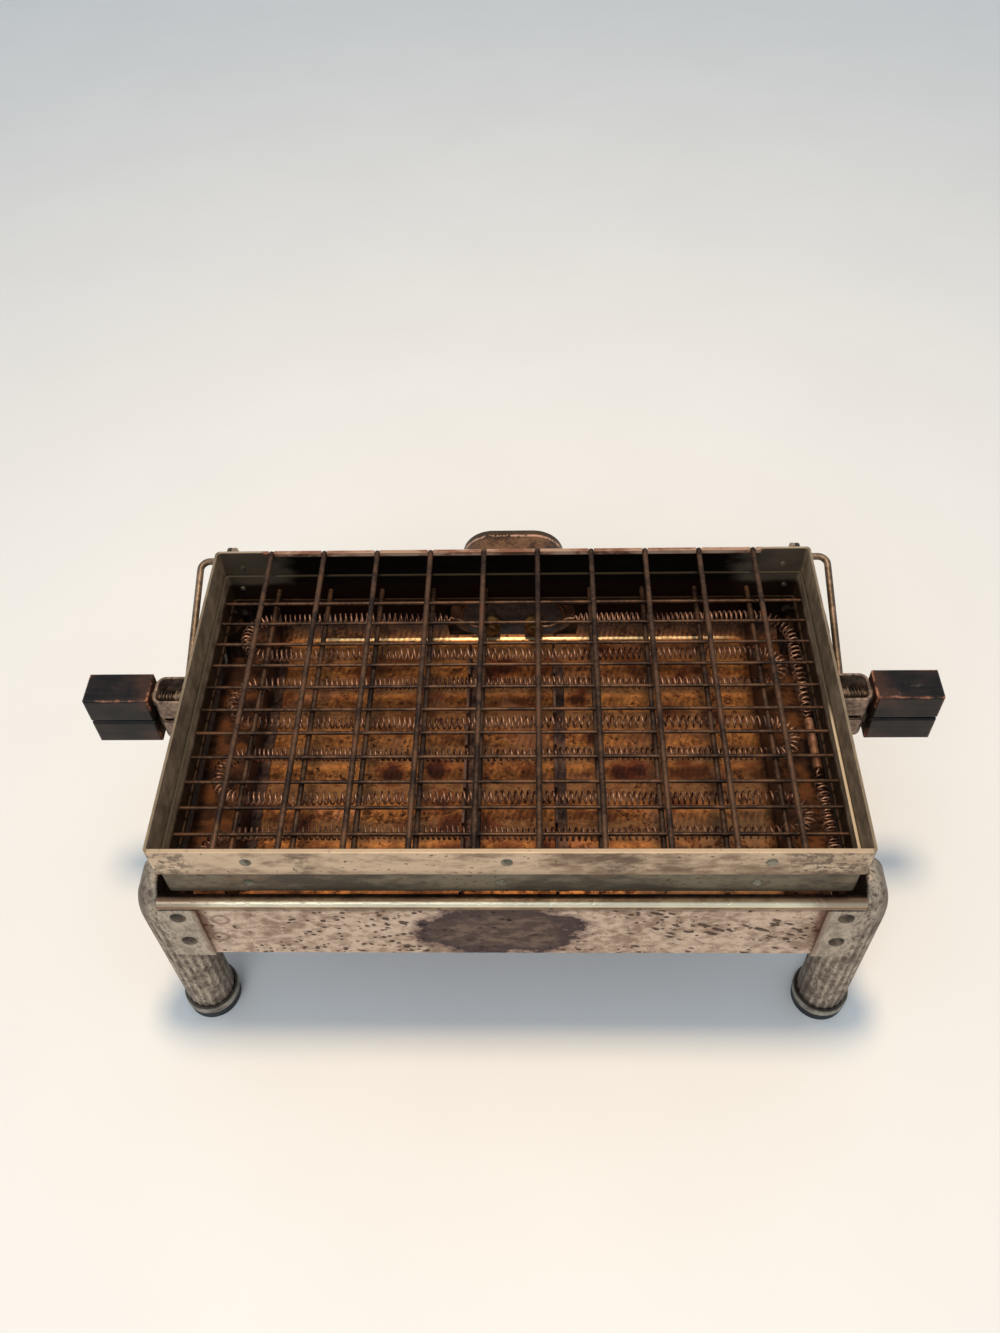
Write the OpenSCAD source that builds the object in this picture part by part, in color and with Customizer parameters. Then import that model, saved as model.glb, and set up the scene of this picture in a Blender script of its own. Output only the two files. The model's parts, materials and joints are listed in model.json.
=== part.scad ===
// Electric flip toaster: a two-part wire cage on a swinging bail over an open heating base.
// Lengths are millimetres. X runs along the long side, Y from front to back, Z up from the table.
// The origin lies on the table under the middle of the whole object.

/* [Cage] */
// Width of the closed cage, outside
cage_w = 250; // [230:1:270]
// Depth of the closed cage, outside
cage_d = 146; // [136:1:156]
// Height of the closed cage
cage_h = 29; // [28:0.5:30]
// Sheet thickness of the cage walls
cage_t = 1; // [0.8:0.1:1.2]
// Outer corner radius of the cage walls
cage_r = 2; // [1.5:0.1:3]
// Gap between the nested walls of the two baskets
nest_gap = 0.4; // [0.3:0.1:1]
// How far the lower basket reaches up into the upper one
nest_lap = 1.5; // [0.8:0.1:2]

/* [Cage wires] */
// Diameter of the thick wires
thick_d = 2.2; // [1.8:0.1:2.6]
// Number of thick wires in each basket
thick_n = 10; // [8:1:10]
// Distance between thick wires
thick_pitch = 22.5; // [21:0.1:23.5]
// Diameter of the thin wires
thin_d = 1.5; // [1.2:0.1:1.8]
// Number of thin wires in the lower basket
thin_n = 12; // [10:1:12]
// Distance of the first thin wire behind the lower basket's front wall
thin_front_in = 6.6; // [5.5:0.1:8]
// Distance of the last thin wire in front of the lower basket's back wall
thin_back_in = 10.6; // [6:0.1:11]
// Height of the thin wires' centres above the cage's bottom edge
grid_rise = 9; // [8:0.1:10]
// Clearance of a wire in its hole or notch
wire_fit = 0.1; // [0.05:0.01:0.2]

/* [Base] */
// How much wider than the closed cage the base is, across its rolled rim
base_over_w = 16; // [14:0.5:18]
// How much deeper than the closed cage the base is, across its rolled rim
base_over_d = 9; // [6:0.5:12]
// How far the base's middle lies behind the cage's middle
base_back = 1.5; // [0:0.5:3]
// Height of the base's rim above the table
base_top = 100.5; // [93:0.5:108]
// Height of the base panels, rim included
panel_h = 41.5; // [39:0.5:45]
// Sheet thickness of the base panels
sheet_t = 0.8; // [0.6:0.1:1]
// Diameter of the rolled rim
bead_d = 5.6; // [5:0.1:6]
// Wall of the rolled rim
bead_t = 0.8; // [0.6:0.1:1]
// Air between the rim and the cage's bottom edge
cage_gap = 2.5; // [2.2:0.1:3]

/* [Legs] */
// Diameter of a leg over its flutes
leg_d = 20; // [19:0.1:21]
// Wall of a leg at its ridges
leg_t = 1.8; // [1.5:0.1:2.4]
// Number of flutes round a leg
flute_n = 20; // [12:1:24]
// Depth of a flute
flute_depth = 0.4; // [0.3:0.1:1]
// How far a leg's side stands out past the rim's side
leg_out = 7; // [6:0.1:8]
// Height of the rounded top of a leg
leg_dome_h = 20.7; // [15:0.1:22]
// How far a leg's rounded top reaches along the side rim, from the column's middle
leg_arm = 8.4; // [6:0.1:9]
// How far a leg's rounded top reaches along the long rim, from the column's middle
leg_arm_long = 1.5; // [0.5:0.1:3]
// Width of a leg's mounting tab beside the column's middle
tab_w = 15; // [14:0.5:17]
// Thickness of a leg's mounting tab
tab_t = 1; // [0.8:0.1:1.2]
// How far the ring round a foot stands out from its leg
foot_ring_out = 1.5; // [1:0.1:3]
// Height of the ring round a foot
foot_ring_h = 4.5; // [4:0.5:7]
// Thickness of the pad under a foot
pad_h = 4.2; // [2:0.1:5]
// How far the pad under a foot stays inside the ring's edge
pad_inset = 0.4; // [0.3:0.1:1]

/* [Hinge and bail] */
// Diameter of the bail's wire
bail_d = 3; // [2.6:0.1:3.4]
// Distance of the hinge wire behind the cage's back wall
hinge_back = 8.5; // [8:0.1:10]
// Height of the bail's pivots below the rim
pivot_drop = 10.5; // [10.4:0.1:13]
// Distance of a bail arm outside the base's rim, to the arm's middle
arm_out = 3; // [2.4:0.1:3.6]
// Bend radius of the bail's corners at the hinge
bail_bend = 4; // [3.5:0.1:5]
// Bend radius of the bail's corners at the pivots
pivot_bend = 3; // [2:0.1:3]
// Radial clearance of the bail in its eyes and bushes
bail_fit = 0.08; // [0.03:0.01:0.1]
// Thickness of a hinge ear
ear_t = 1.2; // [0.8:0.1:1.5]
// Radius of a hinge ear round the hinge wire
ear_r = 6; // [4:0.1:6.5]
// Gap between the two ears on one side
ear_gap = 0.8; // [0.5:0.1:1.2]
// Length of an ear's foot along the back wall
ear_foot = 9; // [7:0.5:12]

/* [Handles] */
// Length of a handle block
block_l = 25.5; // [22:0.5:28]
// Depth of a handle block, front to back
block_d = 14; // [13:0.5:16]
// Height of a handle block
block_h = 12.7; // [11:0.1:13]
// How far the handles' middle lies behind the cage's middle
handle_back = 1; // [-3:0.5:3]
// Gap between the upper and the lower block
block_gap = 0.6; // [0.4:0.1:1]
// Rounding of a block's edges
block_r = 1.2; // [0.5:0.1:2]
// How far a strap's end plate stands out from the cage's side
strap_out = 12; // [10:0.1:13]
// Sheet thickness of a strap
strap_t = 1; // [0.8:0.1:1.2]
// Height of a strap
strap_h = 9.6; // [8.5:0.1:10.2]
// Depth of a strap, front to back
strap_w = 13; // [11:0.5:14]
// Corner radius of a strap
strap_r = 3.5; // [2:0.1:4]
// Diameter of a handle bolt
bolt_d = 3; // [2.6:0.1:3.2]
// Diameter of a handle bolt's head
bolt_head_d = 4.8; // [4.4:0.1:5]
// Height of a bolt above or below the cage's middle plane
bolt_rise = 6.3; // [6:0.1:6.6]
// Thickness of the washer between strap and block
washer_t = 1; // [0.5:0.1:1.5]
// How far a bolt reaches into its block
bolt_in = 14; // [8:0.5:18]
// Diameter of a handle spring, outside
spring_d = 5.6; // [5.2:0.1:6]
// Length of a handle spring between its washer and its strap
spring_l = 6.8; // [6.5:0.1:7.5]
// Diameter of a handle spring's wire
spring_wire_d = 0.8; // [0.6:0.05:0.85]
// Curls of a handle spring
spring_n = 4; // [3:1:4]

/* [Heating element] */
// Height of the element's middle below the rim
coil_drop = 6.5; // [6:0.1:7.5]
// Diameter of the coiled element, outside
coil_d = 5.7; // [5:0.1:6]
// Diameter of the element's wire
coil_wire_d = 0.9; // [0.7:0.05:1]
// Curls of the element along one whole row
row_curls = 8; // [6:1:8]
// Extra step towards the front of every second row
row_step = 2.2; // [0:0.1:2.5]
// Distance of the back row inside the rim's back edge
row_back_in = 11; // [10.5:0.1:12]
// Distance of the front row inside the rim's front edge
row_front_in = 13.3; // [12.5:0.1:14]
// Distance of the return run inside the rim's side edge
return_in = 11.5; // [11:0.1:12.5]
// Bend radius of the return run's two corners
return_bend = 15; // [13:0.5:17]
// Length of the sleeve on the return run
sleeve_l = 24; // [15:1:30]
// Diameter of the sleeve
sleeve_d = 3.8; // [3:0.1:5]
// Clearance of the element's wire in the sleeve
sleeve_fit = 0.3; // [0.1:0.05:0.5]
// Distance of the outer element supports before the turns of the rows
support_in = 2; // [1.5:0.5:6]
// Place of the two middle supports
support_mid_x = 18; // [14:0.5:19]
// Thickness of an element support
support_t = 1; // [0.8:0.1:1.5]
// Width of a support's foot
support_foot = 5; // [4:0.5:7]
// How far a support stands up above the element's middle
support_rise = 2; // [1:0.1:2.5]
// Clearance round the element in a support's notch
notch_fit = 0.5; // [0.3:0.1:0.8]

/* [Reflector] */
// Distance of the reflector's open ends inside the rim's side edges
reflector_in = 5; // [4.5:0.5:7]
// Depth of the reflector's floor below the rim
reflector_drop = 20.5; // [19.5:0.5:22]
// Height of the reflector's turned-up sides
reflector_h = 14.5; // [13.5:0.1:14.5]
// Bend radius of the reflector's sides
reflector_r = 13; // [8:0.5:13.5]

/* [Plug inlet] */
// Width of the plug shroud, outside
shroud_w = 47; // [44:0.5:50]
// Height of the plug shroud, outside
shroud_h = 29; // [28:0.1:29.4]
// Wall of the plug shroud
shroud_t = 1.2; // [1:0.1:1.5]
// Height of the shroud's middle below the rim
shroud_drop = 12; // [11.8:0.1:13]
// How far the shroud stands out behind the rim
shroud_out = 35.5; // [30:0.5:40]
// How far the shroud reaches in past the rim
shroud_in = 5.4; // [4.8:0.1:5.5]
// How far the shroud's welded flange stands out on either side
shroud_flange = 4.5; // [3:0.5:6]
// Thickness of the insulating block
inlet_t = 8; // [6:0.5:10]
// Diameter of a contact pin
pin_d = 4.76; // [4.5:0.01:5]
// Distance between the two contact pins
pin_gap = 19; // [18:0.1:20]
// Length of a contact pin behind the block
pin_l = 24; // [20:0.5:28]
// Length of a contact pin in front of the block
pin_in = 8; // [7:0.5:9]
// Width across the flats of a pin's nut
nut_w = 8; // [7:0.5:10]
// Thickness of a pin's nut
nut_t = 3.2; // [2:0.1:4]

/* [Rivets] */
// Diameter of a rivet head on the legs
leg_rivet_d = 6; // [4:0.1:7]
// Height of a rivet head on the legs
leg_rivet_h = 1.2; // [0.8:0.1:1.3]
// Diameter of a rivet head on the cage
cage_rivet_d = 4.2; // [3:0.1:5]
// Height of a rivet head on the cage
cage_rivet_h = 0.7; // [0.4:0.1:0.9]
// Distance of the outer rivets on the cage's front from its middle
cage_rivet_x = 90.5; // [80:0.5:98]
// How far the lower rivets stand to the left of the upper ones
lower_rivet_shift = 2.5; // [0:0.1:4]
// Height of the lower rivets above the cage's bottom edge
lower_rivet_rise = 6; // [5.4:0.1:7]

/* [Hidden] */
$fn = 48;

// Over-reach of a cutting shape past the face that it cuts
cut = 1;
// Length of a hole's cutting rod, half of it on each side of the sheet's face
drill_l = 6;
// Gap round a piece that passes through another piece of its own body
seat = 0.1;
// Gap between the resting cage and what carries it
rest_gap = 0.35;

// Heights above the table
cage_z = base_top + cage_gap;
rim_z = cage_z + cage_h;
mid_z = cage_z + cage_h / 2;
panel_z = base_top - panel_h;
bead_z = base_top - bead_d / 2;
pivot_z = base_top - pivot_drop;
coil_z = base_top - coil_drop;
reflector_z = base_top - reflector_drop;
shroud_z = base_top - shroud_drop;
thin_z = cage_z + grid_rise;
thick_low_z = thin_z - (thin_d + thick_d) / 2;
thick_up_z = rim_z - thick_d / 2 - wire_fit;

// The lower basket nests inside the upper one
lower_w = cage_w - 2 * (cage_t + nest_gap);
lower_d = cage_d - 2 * (cage_t + nest_gap);
lower_h = cage_h / 2 + nest_lap;
upper_h = cage_h / 2;
hem_h = 1.9;
hem_t = 0.7;
back_hem_x = 104.5;

// The base's faces, measured from the cage's middle
base_w = cage_w + base_over_w;
base_d = cage_d + base_over_d;
front_y = base_back - base_d / 2;
back_y = base_back + base_d / 2;
side_x = base_w / 2;
panel_in = bead_d / 4;
front_face_y = front_y + panel_in;
back_face_y = back_y - panel_in;
side_face_x = side_x - panel_in;
reflector_w = base_w - 2 * reflector_in;

// Legs: the column's front touches the plane of the mounting tabs
leg_r = leg_d / 2;
leg_bore_d = leg_d - 2 * leg_t;
foot_ring_d = leg_d + 2 * foot_ring_out;
pad_d = foot_ring_d - 2 * pad_inset;
leg_x = side_x + leg_out - leg_r;
leg_front_y = front_face_y - tab_t + leg_r;
leg_back_y = back_face_y + tab_t - leg_r;
leg_top_z = cage_z - rest_gap;
dome_z = leg_top_z - leg_dome_h;
tab_below_panel = 0.5;
arm_lap = 3.5;
rivet_in = 7.5;
rivet_drop = 5.3;
rivet_rise = 12.5;
tab_top_z = base_top - bead_d;
tab_low_z = panel_z - tab_below_panel;
arm_low_z = tab_top_z - arm_lap;
rivet_top_z = tab_top_z - rivet_drop;
rivet_low_z = tab_low_z + rivet_rise;
leg_rivet_shank = 1.6;
rivet_tail_r = 2;
rivet_tail_h = 0.5;
seam = 0.4;
panel_lap = 0.5;
side_tab_root = 2;
pad_edge = 0.6;
pad_plug_h = 6;
ring_land = 0.4;

// Where a rim and a panel end beside a leg
rim_end_x = leg_x - leg_arm_long - seam;
panel_end_x = leg_x - leg_r / 2 + panel_lap;
rim_front_end_y = leg_front_y + leg_arm + seam;
rim_back_end_y = leg_back_y - leg_arm - seam;
panel_top_z = bead_z - bead_d / 2 + bead_t * 0.8;

// Hinge and bail
hinge_y = cage_d / 2 + hinge_back;
hinge_z = mid_z;
arm_x = side_x + arm_out;
arm_rise = atan2(hinge_z - pivot_z, hinge_y);
arm_l = norm([hinge_y, hinge_z - pivot_z]);
bush_flange_t = 0.8;
bush_flange_r = 4.5;
bush_r = 2.8;
bush_in = 2;
cap_t = 1.2;
cap_r = 3.4;
cap_gap = 0.3;
eye_r = bail_d / 2 + bail_fit;
ear_in = 4.6;
ear_x = cage_w / 2 - ear_in;
lower_ear_x = ear_x + ear_t + ear_gap;
ear_edge = 1;
ear_low = 1.5;
ear_high = 3;
ear_rivet_in = 0.5;
cage_rivet_shank = 0.8;
cage_rivet_tail_r = 1;

// Handles, from the cage outwards
bolt_end_x = cage_w / 2 + strap_out - strap_t - spring_l;
bolt_head_h = 1.4;
bolt_washer_t = 0.6;
bolt_washer_lap = 0.2;
block_washer_lap = 1.8;
web_x = cage_w / 2 + strap_out;
block_x = web_x + washer_t;
block_rise = (block_gap + block_h) / 2;
spring_r = (spring_d - spring_wire_d) / 2;

// Element: rows are counted from the back, and every second one steps forward
rows = 8;
row_back = back_y - row_back_in;
row_pitch = (row_back - front_y - row_front_in - row_step) / (rows - 1);
row_ys = [for (i = [0:rows - 1]) row_back - row_pitch * i - (i % 2) * row_step];
coil_r = (coil_d - coil_wire_d) / 2;
notch_r = coil_d / 2 + notch_fit;
support_web = 1.5;
support_end = 2.2;
floor_edge = 1;
return_x = side_x - return_in;
row_half = return_x - return_bend;
support_x = row_half - support_in;
sleeve_y = -1;
inlet_in = 6;
inlet_y = back_y - inlet_in;
nut_y = row_back - nut_t / 2;
lead_x = (pin_gap + nut_w) / 2;
lead_run = 2;
coil_start_x = 26;
wind_gap = 1;
wind_run = 20;
tray_in_y = back_face_y - sheet_t;
tray_gap = 2;
tray_cut_in = 10;
tray_corner_gap = 1.5;
tray_corner_x = leg_x - leg_r - tray_corner_gap;

// Wires and rivets of the cage
thick_xs = [for (i = [0:thick_n - 1]) (i - (thick_n - 1) / 2) * thick_pitch];
thin_pitch = (lower_d - thin_front_in - thin_back_in) / (thin_n - 1);
thin_ys = [for (i = [0:thin_n - 1]) thin_front_in - lower_d / 2 + i * thin_pitch];
front_rivet_xs = [-cage_rivet_x, 0, cage_rivet_x];
upper_rivet_drop = 6.3;
upper_rivet_z = rim_z - upper_rivet_drop;
lower_rivet_z = cage_z + lower_rivet_rise;

// The middle of the whole object, seen from above
whole_front_y = leg_front_y - foot_ring_d / 2;
whole_back_y = back_y + shroud_out;
middle_y = (whole_front_y + whole_back_y) / 2;

nickel = [0.62, 0.58, 0.52];
dark_steel = [0.30, 0.28, 0.25];
wire_steel = [0.42, 0.37, 0.32];
rust = [0.50, 0.32, 0.18];
element = [0.45, 0.33, 0.27];
copper = [0.48, 0.33, 0.24];
black_wood = [0.09, 0.08, 0.08];
black_rubber = [0.07, 0.07, 0.07];
porcelain = [0.75, 0.72, 0.66];
brass = [0.62, 0.50, 0.30];

// Moves a piece from the cage's own middle to the object's origin
module placed() {
    translate([0, -middle_y, 0]) children();
}

// The left and the right copy of a piece that is drawn on the right
module both_sides() {
    children();
    mirror([1, 0, 0]) children();
}

module one_side(right) {
    if (right) children();
    else mirror([1, 0, 0]) children();
}

// A rectangle with round corners, centred
module round_rect(w, d, r) {
    square([w - 2 * r, d], center = true);
    square([w, d - 2 * r], center = true);
    for (x = [-1, 1])
        for (y = [-1, 1])
            translate([x * (w / 2 - r), y * (d / 2 - r)]) circle(r);
}

// A shape with two half-round ends, centred
module stadium(w, h) {
    square([w - h, h], center = true);
    for (x = [-1, 1])
        translate([x * (w - h) / 2, 0]) circle(h / 2);
}

// A round rod along X that starts at the origin
module rod_x(l, r) {
    rotate([0, 90, 0]) cylinder(h = l, r = r);
}

// A round rod along Y that starts at the origin
module rod_y(l, r) {
    rotate([-90, 0, 0]) cylinder(h = l, r = r);
}

// A stadium section swept along Y from the origin
module stadium_y(l, w, h) {
    rotate([-90, 0, 0]) linear_extrude(l) stadium(w, h);
}

// A domed rivet through a stack of sheets that starts at x = 0, with its head on the +X side
module rivet_x(stack, d, h, shank, tail_r) {
    dome = [for (a = [0:15:90]) [d / 2 * cos(a), stack + h * sin(a)]];
    foot = [[0, -rivet_tail_h], [tail_r, -rivet_tail_h], [tail_r, 0], [shank, 0], [shank, stack]];
    rotate([0, 90, 0]) rotate_extrude() polygon(concat(foot, dome));
}

// Base panels

module bead_along_x(l) {
    difference() {
        translate([-l / 2, 0, 0]) rod_x(l, bead_d / 2);
        translate([-l / 2 - cut, 0, 0]) rod_x(l + 2 * cut, bead_d / 2 - bead_t);
    }
}

module bead_along_y(l) {
    rotate([0, 0, 90]) bead_along_x(l);
}

// A long panel's sheet: it runs in behind the legs' tabs, and goes out to their rounded tops above the columns
module long_sheet() {
    over_z = arm_low_z + seam;
    translate([-panel_end_x, 0, panel_z]) cube([2 * panel_end_x, sheet_t, panel_top_z - panel_z]);
    translate([-rim_end_x, 0, over_z]) cube([2 * rim_end_x, sheet_t, panel_top_z - over_z]);
}

// Rivet holes near both ends of a long panel whose outer face is at y
module long_panel_holes(y) {
    for (x = [-1, 1])
        for (z = [rivet_low_z, rivet_top_z])
            translate([x * (leg_x - rivet_in), y - drill_l / 2, z]) rod_y(drill_l, leg_rivet_shank + seat);
}

module front_panel() {
    placed() color(nickel) difference() {
        union() {
            translate([0, front_face_y, 0]) long_sheet();
            translate([0, front_y + bead_d / 2, bead_z]) bead_along_x(2 * rim_end_x);
        }
        long_panel_holes(front_face_y);
    }
}

module back_panel() {
    placed() color(nickel) difference() {
        union() {
            translate([0, back_face_y - sheet_t, 0]) long_sheet();
            translate([0, back_y - bead_d / 2, bead_z]) bead_along_x(2 * rim_end_x);
        }
        long_panel_holes(back_face_y);
        translate([0, back_y - bead_d - cut, shroud_z])
            stadium_y(bead_d + 2 * cut, shroud_w + 2 * seat, shroud_h + 2 * seat);
    }
}

// A side panel, drawn on the right, with a hole for the bail's bush
module side_panel() {
    y0 = leg_front_y + leg_r + seam;
    y1 = leg_back_y - leg_r - seam;
    difference() {
        union() {
            translate([side_face_x - sheet_t, y0, panel_z]) cube([sheet_t, y1 - y0, panel_top_z - panel_z]);
            translate([side_x - bead_d / 2, (rim_front_end_y + rim_back_end_y) / 2, bead_z])
                bead_along_y(rim_back_end_y - rim_front_end_y);
        }
        translate([side_face_x - drill_l / 2, 0, pivot_z]) rod_x(drill_l, bush_r + seat);
        for (y = [leg_front_y + leg_r + rivet_in, leg_back_y - leg_r - rivet_in])
            for (z = [rivet_low_z, rivet_top_z])
                translate([side_face_x - drill_l / 2, y, z]) rod_x(drill_l, leg_rivet_shank + seat);
    }
}

module left_panel() {
    placed() color(nickel) one_side(false) side_panel();
}

module right_panel() {
    placed() color(nickel) one_side(true) side_panel();
}

// Legs, each drawn with its column on the Z axis, its front tab towards -X and its side tab towards +Y

// Outline of the fluted column: ridges at full radius with round valleys between them
function flute_point(a) = (leg_r - flute_depth * pow(sin(a * flute_n / 2), 2)) * [cos(a), sin(a)];

module fluted_outline() {
    steps = flute_n * 6;
    polygon([for (i = [0:steps - 1]) flute_point(i * 360 / steps)]);
}

// Half section of the rounded top, from the column's middle outwards
module dome_section() {
    polygon(concat([[0, 0]], [for (a = [0:6:90]) [leg_r * cos(a), leg_dome_h * sin(a)]]));
}

module leg_column() {
    intersection() {
        translate([0, 0, pad_h]) linear_extrude(leg_top_z - pad_h) fluted_outline();
        union() {
            cylinder(h = dome_z, r = leg_r + cut);
            translate([0, 0, dome_z]) rotate_extrude() dome_section();
        }
    }
}

// The rounded top runs on along both rims to meet them
module leg_arms() {
    intersection() {
        union() {
            translate([0, 0, dome_z]) rotate([90, 0, -90]) linear_extrude(leg_arm_long) dome_section();
            translate([0, 0, dome_z]) rotate([90, 0, 0]) mirror([0, 0, 1])
                linear_extrude(leg_arm) dome_section();
        }
        translate([-leg_d, -leg_d, arm_low_z]) cube([2 * leg_d, 2 * leg_d, leg_dome_h]);
    }
}

module front_tab() {
    difference() {
        translate([-tab_w, -leg_r, tab_low_z]) cube([tab_w, tab_t, tab_top_z - tab_low_z]);
        for (z = [rivet_low_z, rivet_top_z])
            translate([-rivet_in, -leg_r - cut, z]) rod_y(tab_t + 2 * cut, leg_rivet_shank + seat);
    }
}

module side_tab() {
    x = side_face_x - leg_x;
    difference() {
        translate([x, leg_r - side_tab_root, tab_low_z]) cube([tab_t, tab_w, tab_top_z - tab_low_z]);
        for (z = [rivet_low_z, rivet_top_z])
            translate([x - cut, leg_r + rivet_in, z]) rod_x(tab_t + 2 * cut, leg_rivet_shank + seat);
    }
}

// The long panel's end slides in behind the front tab
module panel_pocket() {
    pocket_h = arm_low_z - tab_low_z + cut;
    translate([-leg_d, -leg_r + tab_t, tab_low_z - cut])
        cube([leg_d - leg_r / 2 + panel_lap + seam, sheet_t + rivet_tail_h + seat, pocket_h]);
}

// The long rim passes over the inner half of the column, up to the short arm
module rim_space() {
    translate([-leg_d, -leg_d, arm_low_z]) cube([leg_d - leg_arm_long, 2 * leg_d, leg_d]);
}

module leg() {
    difference() {
        union() {
            leg_column();
            leg_arms();
        }
        translate([0, 0, pad_h - cut]) cylinder(h = dome_z - pad_h + cut, d = leg_bore_d);
        translate([0, 0, dome_z]) sphere(d = leg_bore_d);
        panel_pocket();
        rim_space();
    }
    front_tab();
    side_tab();
}

// Puts what is drawn for the front right corner at one of the four corners
module at_corner(right, front) {
    y = front ? leg_front_y : leg_back_y;
    one_side(right) translate([leg_x, y, 0]) mirror([0, front ? 0 : 1, 0]) children();
}

module at_all_corners() {
    for (right = [false, true])
        for (front = [false, true])
            at_corner(right, front) children();
}

module leg_front_left() {
    placed() color(nickel) at_corner(false, true) leg();
}

module leg_front_right() {
    placed() color(nickel) at_corner(true, true) leg();
}

module leg_back_left() {
    placed() color(nickel) at_corner(false, false) leg();
}

module leg_back_right() {
    placed() color(nickel) at_corner(true, false) leg();
}

module foot_ring() {
    edge_r = (foot_ring_d - leg_d) / 2 * 0.75;
    translate([0, 0, pad_h]) difference() {
        union() {
            cylinder(h = foot_ring_h, d = foot_ring_d - 2 * ring_land);
            for (z = [edge_r, foot_ring_h - edge_r])
                translate([0, 0, z]) rotate_extrude()
                    translate([foot_ring_d / 2 - edge_r, 0]) circle(edge_r);
        }
        translate([0, 0, -cut]) cylinder(h = foot_ring_h + 2 * cut, r = leg_r + seat);
    }
}

module foot_ring_front_left() {
    placed() color(nickel) at_corner(false, true) foot_ring();
}

module foot_ring_front_right() {
    placed() color(nickel) at_corner(true, true) foot_ring();
}

module foot_ring_back_left() {
    placed() color(nickel) at_corner(false, false) foot_ring();
}

module foot_ring_back_right() {
    placed() color(nickel) at_corner(true, false) foot_ring();
}

// A pad with a plug that goes up into the leg's bore
module foot_pad() {
    cylinder(h = pad_h - pad_edge, d = pad_d);
    translate([0, 0, pad_h - pad_edge]) {
        cylinder(h = pad_edge, r1 = pad_d / 2, r2 = pad_d / 2 - pad_edge);
        cylinder(h = pad_edge + pad_plug_h, d = leg_bore_d - 2 * seat);
    }
}

module foot_pad_front_left() {
    placed() color(black_rubber) at_corner(false, true) foot_pad();
}

module foot_pad_front_right() {
    placed() color(black_rubber) at_corner(true, true) foot_pad();
}

module foot_pad_back_left() {
    placed() color(black_rubber) at_corner(false, false) foot_pad();
}

module foot_pad_back_right() {
    placed() color(black_rubber) at_corner(true, false) foot_pad();
}

module leg_rivets() {
    placed() color(nickel) at_all_corners() for (z = [rivet_low_z, rivet_top_z]) {
        translate([-rivet_in, -leg_r + tab_t + sheet_t, z]) rotate([0, 0, -90])
            rivet_x(tab_t + sheet_t, leg_rivet_d, leg_rivet_h, leg_rivet_shank, rivet_tail_r);
        translate([side_face_x - leg_x - sheet_t, leg_r + rivet_in, z])
            rivet_x(tab_t + sheet_t, leg_rivet_d, leg_rivet_h, leg_rivet_shank, rivet_tail_r);
    }
}

// Bushes in the side panels that carry the bail
module bail_bushes() {
    placed() color(brass) both_sides() translate([side_face_x, 0, pivot_z]) difference() {
        union() {
            rod_x(bush_flange_t, bush_flange_r);
            translate([-bush_in, 0, 0]) rod_x(bush_in, bush_r);
        }
        translate([-bush_in - cut, 0, 0]) rod_x(bush_in + bush_flange_t + 2 * cut, eye_r);
    }
}

// Reflector: a tray bent up at the front and at the back, open at both ends

// A rectangle that stands on the X axis, with its two lower corners rounded
module u_shape(w, h, r) {
    intersection() {
        union() {
            translate([-w / 2, r]) square([w, h]);
            translate([-w / 2 + r, 0]) square([w - 2 * r, h]);
            for (x = [-1, 1])
                translate([x * (w / 2 - r), r]) circle(r);
        }
        translate([-w / 2, 0]) square([w, h]);
    }
}

module tray_outline(w, h, r, t) {
    difference() {
        u_shape(w, h, r);
        translate([0, t]) u_shape(w - 2 * t, h + cut, r - t);
    }
}

module reflector() {
    tray_d = back_face_y - front_face_y - 2 * (sheet_t + seat);
    placed() color(rust) difference() {
        translate([-reflector_w / 2, base_back, reflector_z]) rotate([90, 0, 90])
            linear_extrude(reflector_w) tray_outline(tray_d, reflector_h, reflector_r, sheet_t);
        translate([0, back_y - tray_cut_in, shroud_z])
            stadium_y(tray_cut_in, shroud_w + 2 * (shroud_flange + tray_gap), shroud_h + tray_gap);
        both_sides() tray_corners();
    }
}

// The spaces beside two legs, cut out of the reflector's corners
module tray_corners() {
    front_end = leg_front_y + leg_r + tray_corner_gap;
    back_end = leg_back_y - leg_r - tray_corner_gap;
    translate([tray_corner_x, front_y, reflector_z - cut])
        cube([reflector_w, front_end - front_y, reflector_h + 2 * cut]);
    translate([tray_corner_x, back_end, reflector_z - cut])
        cube([reflector_w, back_y - back_end, reflector_h + 2 * cut]);
}

// A notched strip that stands on the reflector and holds the rows from the given one to the front
module support(x, first_row) {
    floor_z = reflector_z + sheet_t;
    top_z = coil_z + support_rise;
    shelf_z = coil_z - notch_r - support_web;
    front_end = row_ys[rows - 1] - notch_r - support_end;
    back_end = row_ys[first_row] + notch_r + support_end;
    floor_front = front_face_y + sheet_t + reflector_r + floor_edge;
    floor_back = min(back_face_y - sheet_t - reflector_r - floor_edge, back_end);
    placed() color(dark_steel) difference() {
        union() {
            translate([x - support_t / 2, 0, 0]) rotate([90, 0, 90]) linear_extrude(support_t)
                polygon([[floor_front, floor_z], [floor_back, floor_z], [back_end, shelf_z],
                    [back_end, top_z], [front_end, top_z], [front_end, shelf_z]]);
            translate([x - support_t / 2, floor_front, floor_z])
                cube([support_foot, floor_back - floor_front, support_t]);
        }
        for (i = [first_row:rows - 1]) {
            translate([x - 2 * cut, row_ys[i], coil_z]) rod_x(4 * cut, notch_r);
            translate([x - 2 * cut, row_ys[i] - notch_r, coil_z]) cube([4 * cut, 2 * notch_r, top_z]);
        }
    }
}

module support_left() {
    support(-support_x, 0);
}

module support_mid_left() {
    support(-support_mid_x, 1);
}

module support_mid_right() {
    support(support_mid_x, 1);
}

module support_right() {
    support(support_x, 0);
}

// Swept tubes

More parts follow.
